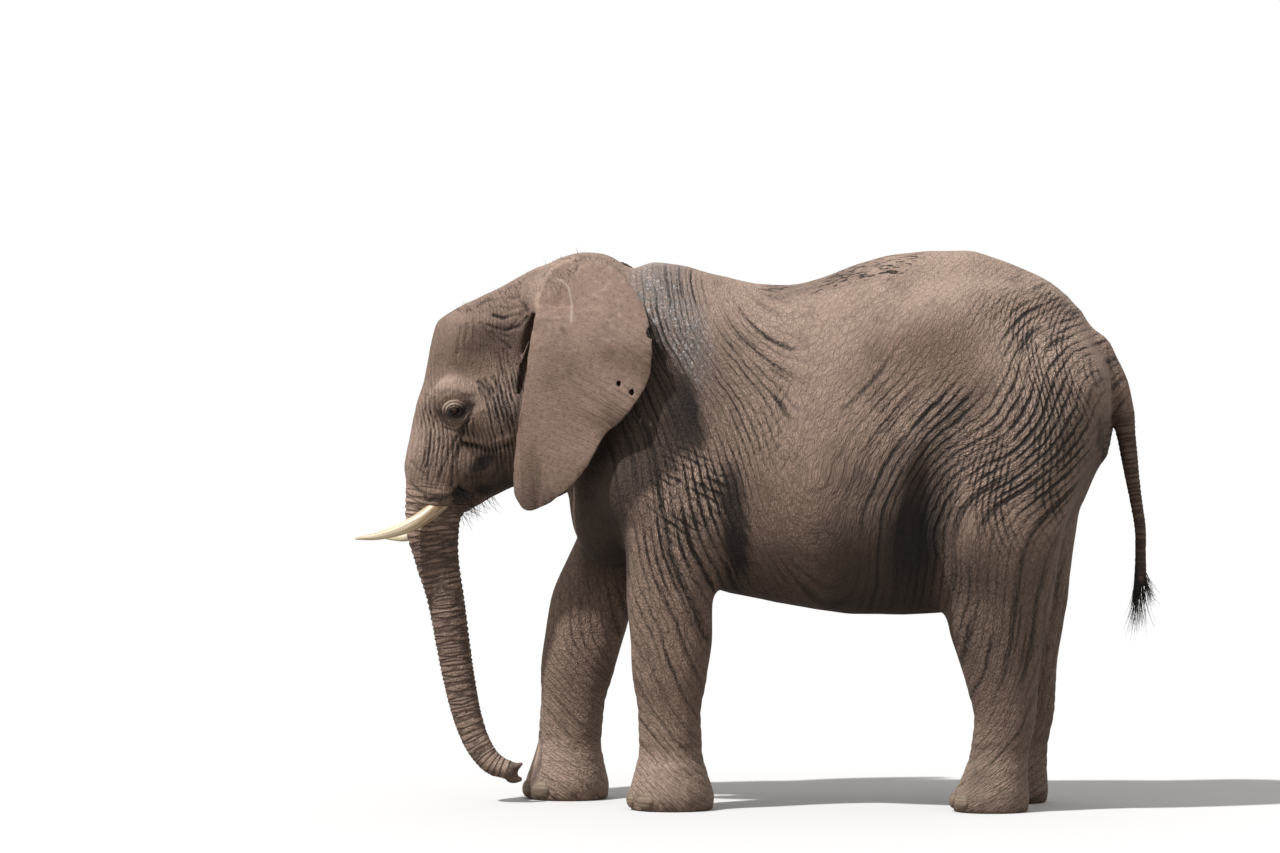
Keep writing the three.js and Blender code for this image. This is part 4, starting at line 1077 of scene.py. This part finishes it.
def paintHide():
    made, wire, shader = material("hide", Roughness=0.75, IOR=1.4, Coat_Roughness=0.3)
    places = ("onEar", "onHead", "ringed", "folded", "crossed", "drawn")
    layers = ("wetSheen", "dustAndLight", "shade", "flaky", "pale")
    mark = {name: wire.mark(name) for name in places + layers}
    mark.update({name: wire.mark(name, vector=True) for name in ("lie", "ring")})
    place = wire.make("ShaderNodeTexCoord", out="Object")
    mark["patches"] = place.noise(2.6, 2, 0.6)
    groove = hideGrooves(place, mark)
    height = place.noise(170, 3, 0.65) * hideLook["grain"]
    for name in ("fold", "cross", "net", "cell", "ring", "flake"):
        height = height - groove[name] * hideLook[f"{name}Depth"]
    feed(height.bump(), shader, "Normal")

    speckle, wetSheen = place.noise(26, 3, 0.7), mark["wetSheen"]
    # painted shade in the grooves, cracks, rings and drawn folds, and the dark of the mud flakes
    grooveShadeAndMud = groove["fold"] * 0.95 + groove["cross"] * 0.7 + groove["net"] * 0.6 + groove["cell"] * 0.5
    grooveShadeAndMud = grooveShadeAndMud + groove["ring"] * 0.6 + mark["drawn"] * 0.6 + groove["flake"] * 0.9
    feed(hideTone(place, mark, groove, speckle, grooveShadeAndMud), shader, "Base Color")
    feed(wetSheen.blend(0.78, 0.34) + (speckle - 0.5) * 0.2, shader, "Roughness")
    feed(wetSheen * speckle.ramp(0.3, 0.6) * 0.3, shader, "Coat Weight")
    return made


def dressed(thing, made, slot, *nodes):  # the piece takes its material and its place in the model
    thing.data.materials.clear()
    thing.data.materials.append(made)
    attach(thing, "root")
    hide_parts(*nodes)


fleshNodes = [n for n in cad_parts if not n.startswith(("eye", "tusk")) and "nail" not in n]
dressed(skin, paintHide(), "hide", *fleshNodes)


def balls(name, places, sides, rings):  # smooth balls in one piece, each from its own matrix
    shape = bmesh.new()
    for matrix in places:
        bmesh.ops.create_uvsphere(shape, u_segments=sides, v_segments=rings, radius=1, matrix=matrix)
    mesh = bpy.data.meshes.new(name)
    shape.to_mesh(mesh)
    shape.free()
    mesh.polygons.foreach_set("use_smooth", np.ones(len(mesh.polygons), bool))
    return placed(name, mesh)


eyeLook = {"radius": 20, "iris": 11.5, "pupil": 4.6, "gaze": (0.93, -0.24, -0.28)}  # sizes in millimetres


def paintEye():
    look = {"Roughness": 0.14, "Coat_Weight": 0.2, "Coat_Roughness": 0.03, "Specular_IOR_Level": 0.3}
    made, wire, shader = material("eye", **look)
    out, around = wire.mark("out"), wire.mark("around", True)
    iris, pupil = eyeLook["iris"] / eyeLook["radius"], eyeLook["pupil"] / eyeLook["radius"]
    rays = around.scaled(9, 9, 9).noise(1.0, 2, 0.7)
    tone = rays.ramp(0.35, 0.65).mix(colour(44, 26, 16), colour(78, 46, 26))
    tone = out.ramp(iris - 0.03, iris + 0.04).mix(tone, colour(40, 27, 22))
    tone = out.ramp(pupil - 0.03, pupil + 0.02).mix(colour(8, 6, 5), tone)
    feed(tone, shader, "Base Color")
    return made


eyePaint = paintEye()
for name, hand in (("eye_left", 1), ("eye_right", -1)):
    centre = Vector(inFrame((hand * eyeX, eyeY, eyeZ)))
    place = Matrix.Translation(centre) @ Matrix.Scale(eyeLook["radius"] / 1000, 4)
    ball = balls(f"ball_{name}", [place], 48, 28)
    gaze = np.array(eyeLook["gaze"]) * (hand, 1, 1)
    local = (pointsOf(ball) - (hand * eyeX, eyeY, eyeZ)) / eyeLook["radius"]
    facing = local @ gaze / np.linalg.norm(gaze)
    writeMark(ball, "out", np.where(facing > 0, np.linalg.norm(np.cross(local, gaze), axis=1), 1))
    off = np.linalg.norm(local - facing[:, None] * gaze, axis=1)
    writeMark(ball, "around", local / np.maximum(off, 0.05)[:, None])
    dressed(ball, eyePaint, "eye", name)


tusk = {  # how far the root and the tip stand from the middle, the radii there, each tip's y and z
    "root": 140, "tip": 215, "rootRadius": 34, "tipRadius": 5, "tips": {1: (-1808, 1204), -1: (-1716, 1178)},
}


def paintIvory():
    made, wire, shader = material("ivory", Roughness=0.42, Coat_Weight=0.15)
    along, grain = wire.mark("along"), wire.mark("round", True)
    streaks = grain.scaled(16, 16, 2.2).noise(1.0, 3, 0.65)
    stain = (1 - along.ramp(0.16, 0.62)) * streaks.ramp(0.3, 0.62)
    cracks = grain.scaled(26, 26, 1.3).noise(1.0, 2, 0.5).ramp(0.6, 0.66)
    tone = streaks.ramp(0.42, 0.62).mix(colour(238, 224, 198), colour(214, 190, 152))
    tone = (stain * 0.8).mix(tone, colour(136, 98, 62))
    tone = (cracks * 0.5).mix(tone, colour(120, 84, 54))
    feed(tone, shader, "Base Color")
    feed((grain.scaled(30, 30, 3).noise(1.0, 3) * 0.0012).bump(), shader, "Normal")
    return made


def layTusk(hand):
    tipY, tipZ = tusk["tips"][hand]
    line = curveThrough([
        (tusk["root"] - 4, -1396, 1397), (tusk["root"], -1420, 1366), (tusk["root"] + 26, -1548, 1270),
        (tusk["tip"] - 18, tipY + 110, tipZ + 13), (tusk["tip"], tipY, tipZ),
    ], steps=60)
    share = np.concatenate([[0], np.cumsum(np.linalg.norm(np.diff(line, axis=0), axis=1))])
    share /= share[-1]
    taper = np.maximum(0, (share - 0.25) / 0.75) ** 1.7
    radius = tusk["rootRadius"] + (tusk["tipRadius"] - tusk["rootRadius"]) * taper
    radius *= np.sqrt(np.clip((1.004 - share) / 0.02, 0, 1))  # the tip is rounded off
    forward = np.gradient(line, axis=0)
    forward /= np.linalg.norm(forward, axis=1, keepdims=True)
    across = np.cross(forward, (0, 0, 1.0))
    across /= np.linalg.norm(across, axis=1, keepdims=True)
    up = np.cross(across, forward)
    sides = 28
    angle = np.arange(sides) / sides * 2 * math.pi
    ring = across[:, None] * np.cos(angle)[None, :, None] + up[:, None] * np.sin(angle)[None, :, None]
    points = (line[:, None] + ring * np.maximum(radius, 0.6)[:, None, None]).reshape(-1, 3) * (hand, 1, 1)
    i, j = np.meshgrid(np.arange(len(line) - 1), np.arange(sides), indexing="ij")
    a, b = i * sides + j, i * sides + (j + 1) % sides
    faces = np.stack([a, b, b + sides, a + sides], -1).reshape(-1, 4)
    if hand > 0:
        faces = faces[:, ::-1]
    thing = meshObject("ivory_left" if hand > 0 else "ivory_right", inFrame(points), faces)
    shape = bmesh.new()
    shape.from_mesh(thing.data)
    bmesh.ops.holes_fill(shape, edges=[e for e in shape.edges if e.is_boundary], sides=0)
    bmesh.ops.recalc_face_normals(shape, faces=shape.faces)
    shape.to_mesh(thing.data)
    shape.free()
    writeMark(thing, "along", np.repeat(share, sides))
    circle = np.tile(np.c_[np.cos(angle), np.sin(angle)], (len(line), 1))
    writeMark(thing, "round", np.c_[circle, np.repeat(share * 8, sides)] * 0.15)
    return thing


ivory = paintIvory()
for hand, node in ((1, "tusk_left"), (-1, "tusk_right")):
    dressed(layTusk(hand), ivory, "ivory", node)

# count, half-angle of the row, half-width and half-height of each, and the height that they stand at
nails = {"fore": (4, 0.98, 46, 40), "hind": (3, 0.72, 44, 38), "height": 50}


def paintNail():
    made, wire, shader = material("nail", Roughness=0.6)
    place = wire.make("ShaderNodeTexCoord", out="Object")
    layers = place.scaled(6, 6, 190).noise(1.0, 2)
    tone = layers.ramp(0.35, 0.65).mix(colour(150, 132, 112), colour(112, 95, 80))
    tone = (place.noise(18, 3).ramp(0.5, 0.7) * 0.6).mix(tone, colour(92, 76, 64))
    feed(tone, shader, "Base Color")
    feed((layers * 0.004).bump(), shader, "Normal")
    return made


def nailPlaces():
    for (yAt, depthAt, xAt, widthAt), stride, hand, *_ in legs:
        count, span, wide, high = nails["fore" if yAt(0) < 0 else "hind"]
        z = nails["height"]
        for n in range(count):
            turn = -span + 2 * span * n / (count - 1)
            spot = (hand * xAt(z) + (widthAt(z) - 10) * math.sin(turn),
                    yAt(z) + stride - (depthAt(z) - 10) * math.cos(turn), z)
            size = Matrix.Diagonal((wide / 1000, 0.024, high / 1000, 1))
            yield (Matrix.Translation(Vector(inFrame(spot))) @ Matrix.Rotation(turn, 4, "Z")
                   @ Matrix.Rotation(-0.12, 4, "X") @ size)


nailNodes = [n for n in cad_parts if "nail" in n]
dressed(balls("nails", list(nailPlaces()), 24, 14), paintNail(), "nail", *nailNodes)
tell("eyes, tusks and nails made")


def unwrapped(points):  # the skin laid out flat: along the body, and round a line through its middle
    turn = np.arctan2(points[:, 0], points[:, 2] - 1500) / (2 * math.pi)
    return np.c_[(points[:, 1] + 1950) / 3900, turn + 0.5]


def hairNodes():  # one hair on each point, along its way, as long as its size
    tree = bpy.data.node_groups.new("hairs", "GeometryNodeTree")
    tree.is_modifier = True
    names = tree.interface
    names.new_socket("Geometry", in_out="INPUT", socket_type="NodeSocketGeometry")
    sockets = {}
    for label, kind in (("Thickness", "Float"), ("Bend", "Float"), ("Material", "Material")):
        sockets[label] = names.new_socket(label, in_out="INPUT", socket_type=f"NodeSocket{kind}").identifier
    names.new_socket("Geometry", in_out="OUTPUT", socket_type="NodeSocketGeometry")
    start, end = tree.nodes.new("NodeGroupInput"), tree.nodes.new("NodeGroupOutput")
    given = {label: Wire(tree, start.outputs[label]) for label in ("Geometry", *sockets)}
    wire = Wire(tree)

    def attribute(label, kind="FLOAT_VECTOR"):
        read = "GeometryNodeInputNamedAttribute"
        return wire.make(read, {"data_type": kind}, {"Name": label}, out="Attribute")

    def stored(geometry, label, kind, domain, value):
        settings = {"data_type": kind, "domain": domain}
        inputs = {"Geometry": geometry, "Name": label, "Value": value}
        return wire.make("GeometryNodeStoreNamedAttribute", settings, inputs)

    # the hair, one long, standing on its root
    tip = wire.make("ShaderNodeCombineXYZ", None, {0: given["Bend"], 2: 1.0})
    bent = {"Resolution": 5, "Start": (0, 0, 0), "Middle": (0, 0, 0.55), "End": tip}
    line = wire.make("GeometryNodeCurveQuadraticBezier", None, bent)
    taper = (1 - wire.make("GeometryNodeSplineParameter", out="Factor") * 0.8) * given["Thickness"]
    rim = wire.make("GeometryNodeCurvePrimitiveCircle", None, {"Resolution": 3, "Radius": 1.0})
    hair = wire.make("GeometryNodeCurveToMesh", None, {"Curve": line, "Profile Curve": rim, "Scale": taper})
    # its own small piece of the map, from its height and width
    local = wire.make("GeometryNodeInputPosition")
    height = local.make("ShaderNodeSeparateXYZ", None, {0: local}, 2) * 0.003
    width = local.make("ShaderNodeSeparateXYZ", None, {0: local}, 0) * 0.05
    spread = wire.make("ShaderNodeCombineXYZ", None, {0: height, 1: width})
    hair = stored(hair, "spread", "FLOAT_VECTOR", "POINT", spread)
    # planted along its way, and turned on itself
    turned = wire.make("FunctionNodeAlignRotationToVector", {"axis": "Z"}, {"Vector": attribute("way")})
    spun = {"Axis": (0, 0, 1), "Angle": attribute("spin", "FLOAT")}
    both = {"Rotation": turned, "Rotate By": wire.make("FunctionNodeAxisAngleToRotation", None, spun)}
    turned = wire.make("FunctionNodeRotateRotation", {"rotation_space": "LOCAL"}, both)
    each = {"Instance": hair, "Rotation": turned, "Scale": attribute("size", "FLOAT")}
    planted = wire.make("GeometryNodeInstanceOnPoints", None, {"Points": given["Geometry"], **each})
    solid = wire.make("GeometryNodeRealizeInstances", None, {0: planted})
    mapped = stored(solid, "OFBake", "FLOAT2", "CORNER", attribute("map").moved(attribute("spread")))
    painted = wire.make("GeometryNodeSetMaterial", None, {"Geometry": mapped, "Material": given["Material"]})
    tree.links.new(painted.socket, end.inputs[0])
    return tree, sockets


hairTree, hairSockets = hairNodes()
skinPoints, skinNormals = pointsOf(skin), vertexValues(skin, "normal").astype(float)


def hairMaterial(name, tone):
    made, wire, shader = material(name, Roughness=0.55)
    shader.inputs["Base Color"].default_value = tone
    return made


def growing(y, z, side=(-1, 700), facing=(2, -2, 2)):  # the skin's points in a box whose normals face so
    axis, least, most = facing
    chosen = (least < skinNormals[:, axis]) & (skinNormals[:, axis] < most)
    for values, (low, high) in zip((np.abs(skinPoints[:, 0]), *skinPoints.T[1:]), (side, y, z)):
        chosen &= (low < values) & (values < high)
    return np.flatnonzero(chosen)


def hairs(name, count, pool, out, along, stray, size, thickness, bend, made):
    luck = np.random.default_rng(len(name) * 7 + 3)
    pick = luck.choice(pool, count)
    normals = skinNormals[pick]
    roots = skinPoints[pick] + luck.normal(0, 3, (count, 3)) * (1 - normals ** 2) - normals * 2
    ways = normals * out + np.array(along) + luck.normal(0, stray, (count, 3))
    ways /= np.linalg.norm(ways, axis=1, keepdims=True)
    mesh = bpy.data.meshes.new(name)
    mesh.from_pydata([tuple(p) for p in inFrame(roots)], [], [])
    thing = placed(name, mesh)
    writeMark(thing, "way", ways)
    writeMark(thing, "size", luck.uniform(*size, count) / 1000)
    writeMark(thing, "spin", luck.uniform(0, 2 * math.pi, count))
    spots = unwrapped(roots) + luck.uniform(-0.0015, 0.0015, (count, 2))
    writeMark(thing, "map", np.c_[spots, np.zeros(count)])
    grown = thing.modifiers.new("grown", "NODES")
    grown.node_group = hairTree
    for label, value in (("Thickness", thickness), ("Bend", bend), ("Material", made)):
        grown[hairSockets[label]] = value
    applied(thing)
    for label in ("way", "size", "spin", "map", "spread"):
        if label in thing.data.attributes:
            thing.data.attributes.remove(thing.data.attributes[label])
    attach(thing, "root")
    tell(f"{name}: {len(thing.data.polygons)} faces, maps {[m.name for m in thing.data.uv_layers]}")


# lengths are in millimetres, and thickness and bend are shares of the length
darkHair = hairMaterial("dark_hair", colour(30, 22, 18))
greyHair = hairMaterial("grey_hair", colour(92, 76, 66))
hairs("tail_tuft", 120, growing((1600, 2000), (975, 1090), facing=(1, -2, -0.3)), out=0.12,
      along=(0, 0.04, -1), stray=0.05, size=(90, 250), thickness=0.007, bend=0.12, made=darkHair)
hairs("tail_tip", 90, growing((1600, 2000), (960, 1010)), out=0.06,
      along=(0, 0.0, -1), stray=0.06, size=(70, 220), thickness=0.007, bend=0.14, made=darkHair)
hairs("tail_hook", 70, growing((1600, 2000), (985, 1060), facing=(1, 0.6, 2)), out=0.42,
      along=(0, 0.05, -1), stray=0.06, size=(60, 125), thickness=0.012, bend=0.2, made=darkHair)
hairs("chin_hair", 300, growing((-1370, -1190), (1300, 1440), facing=(2, -2, 0.2)), out=0.5,
      along=(0, 0.35, -0.5), stray=0.3, size=(40, 95), thickness=0.019, bend=0.2, made=darkHair)
hairs("crown_hair", 900, growing((-1440, -700), (2220, 2700), (-1, 250), (2, 0.25, 2)), out=0.9,
      along=(0, -0.25, 0.25), stray=0.3, size=(10, 30), thickness=0.03, bend=0.3, made=darkHair)
hairs("lashes", 90, growing((eyeY - 23, eyeY + 29), (eyeZ - 6, eyeZ + 2), (eyeX + 12, 700)), out=0.7,
      along=(0, 0, -0.55), stray=0.18, size=(22, 34), thickness=0.018, bend=0.15, made=darkHair)
hairs("trunk_hair", 420, growing((-2000, -1060), (80, 1500), (-1, 160)), out=0.8,
      along=(0, -0.1, -0.5), stray=0.25, size=(8, 20), thickness=0.028, bend=0.25, made=greyHair)
hairs("body_hair", 900, growing((-800, 2000), (1500, 2700)), out=0.8,
      along=(0, 0.4, -0.2), stray=0.3, size=(7, 18), thickness=0.03, bend=0.3, made=greyHair)

# camera, light and floor

view = {"azimuth": 95, "elevation": 3, "distance": 48, "lens": 300, "aim": (0, -540, 1703)}
light = {"from": (0.38, -0.45, 0.81), "strength": 3.3, "spread": 2, "sky": 0.44}
ground = {"half": 400, "tone": (0.8, 0.8, 0.8, 1), "bounce": (0.32, 0.30, 0.27, 1), "fade": (3.5, 9.0)}


def layCamera():
    turn, rise = math.radians(view["azimuth"]), math.radians(view["elevation"])
    backward = Vector((math.sin(turn) * math.cos(rise), -math.cos(turn) * math.cos(rise), math.sin(rise)))
    camera = placed("camera", bpy.data.cameras.new("camera"))
    camera.data.lens = view["lens"]
    camera.data.sensor_width = 36
    camera.data.clip_end = 400
    camera.location = Vector(inFrame(view["aim"])) + backward * view["distance"]
    camera.rotation_euler = backward.to_track_quat("Z", "Y").to_euler()
    bpy.context.scene.camera = camera


def layLight():
    sun = placed("sun", bpy.data.lights.new("sun", "SUN"))
    sun.data.energy = light["strength"]
    sun.data.angle = math.radians(light["spread"])
    sun.rotation_euler = Vector(light["from"]).to_track_quat("Z", "Y").to_euler()
    world = bpy.data.worlds.new("sky")
    bpy.context.scene.world = world
    world.use_nodes = True
    sky = Wire(world.node_tree)
    seen = sky.make("ShaderNodeLightPath", out="Is Camera Ray")
    glossy = sky.make("ShaderNodeLightPath", out="Is Glossy Ray")
    background = world.node_tree.nodes["Background"]
    background.inputs["Color"].default_value = (1.0, 0.985, 0.965, 1)
    feed(sky.sum("MAXIMUM", seen, glossy).blend(light["sky"], 1.0), background, "Strength")


def paintGround():  # white to the camera far off, and near by it takes the shadow
    made, wire, shader = material("pale_floor", Roughness=0.9)
    seen = wire.make("ShaderNodeLightPath", out="Is Camera Ray")
    feed(seen.mix(ground["bounce"], ground["tone"]), shader, "Base Color")
    glow = wire.make("ShaderNodeEmission", None, {"Color": (1, 1, 1, 1), "Strength": 1.0})
    place = wire.make("ShaderNodeTexCoord", out="Object")
    reach = wire.make("ShaderNodeVectorMath", {"operation": "LENGTH"}, {0: place}, 1)
    plain = Wire(made.node_tree, shader.outputs[0])
    far = reach.ramp(*ground["fade"]) * seen
    mixed = wire.make("ShaderNodeMixShader", None, {0: far, 1: plain, 2: glow})
    feed(mixed, made.node_tree.nodes["Material Output"], "Surface")
    return made


layCamera()
layLight()
half = ground["half"]
corner = [(-half, -half, 0), (half, -half, 0), (half, half, 0), (-half, half, 0)]
floor = meshObject("floor", corner, [(0, 1, 2, 3)])
floor.data.materials.append(paintGround())

bpy.context.scene.view_settings.view_transform = "Standard"
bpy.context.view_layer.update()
tell("scene made")
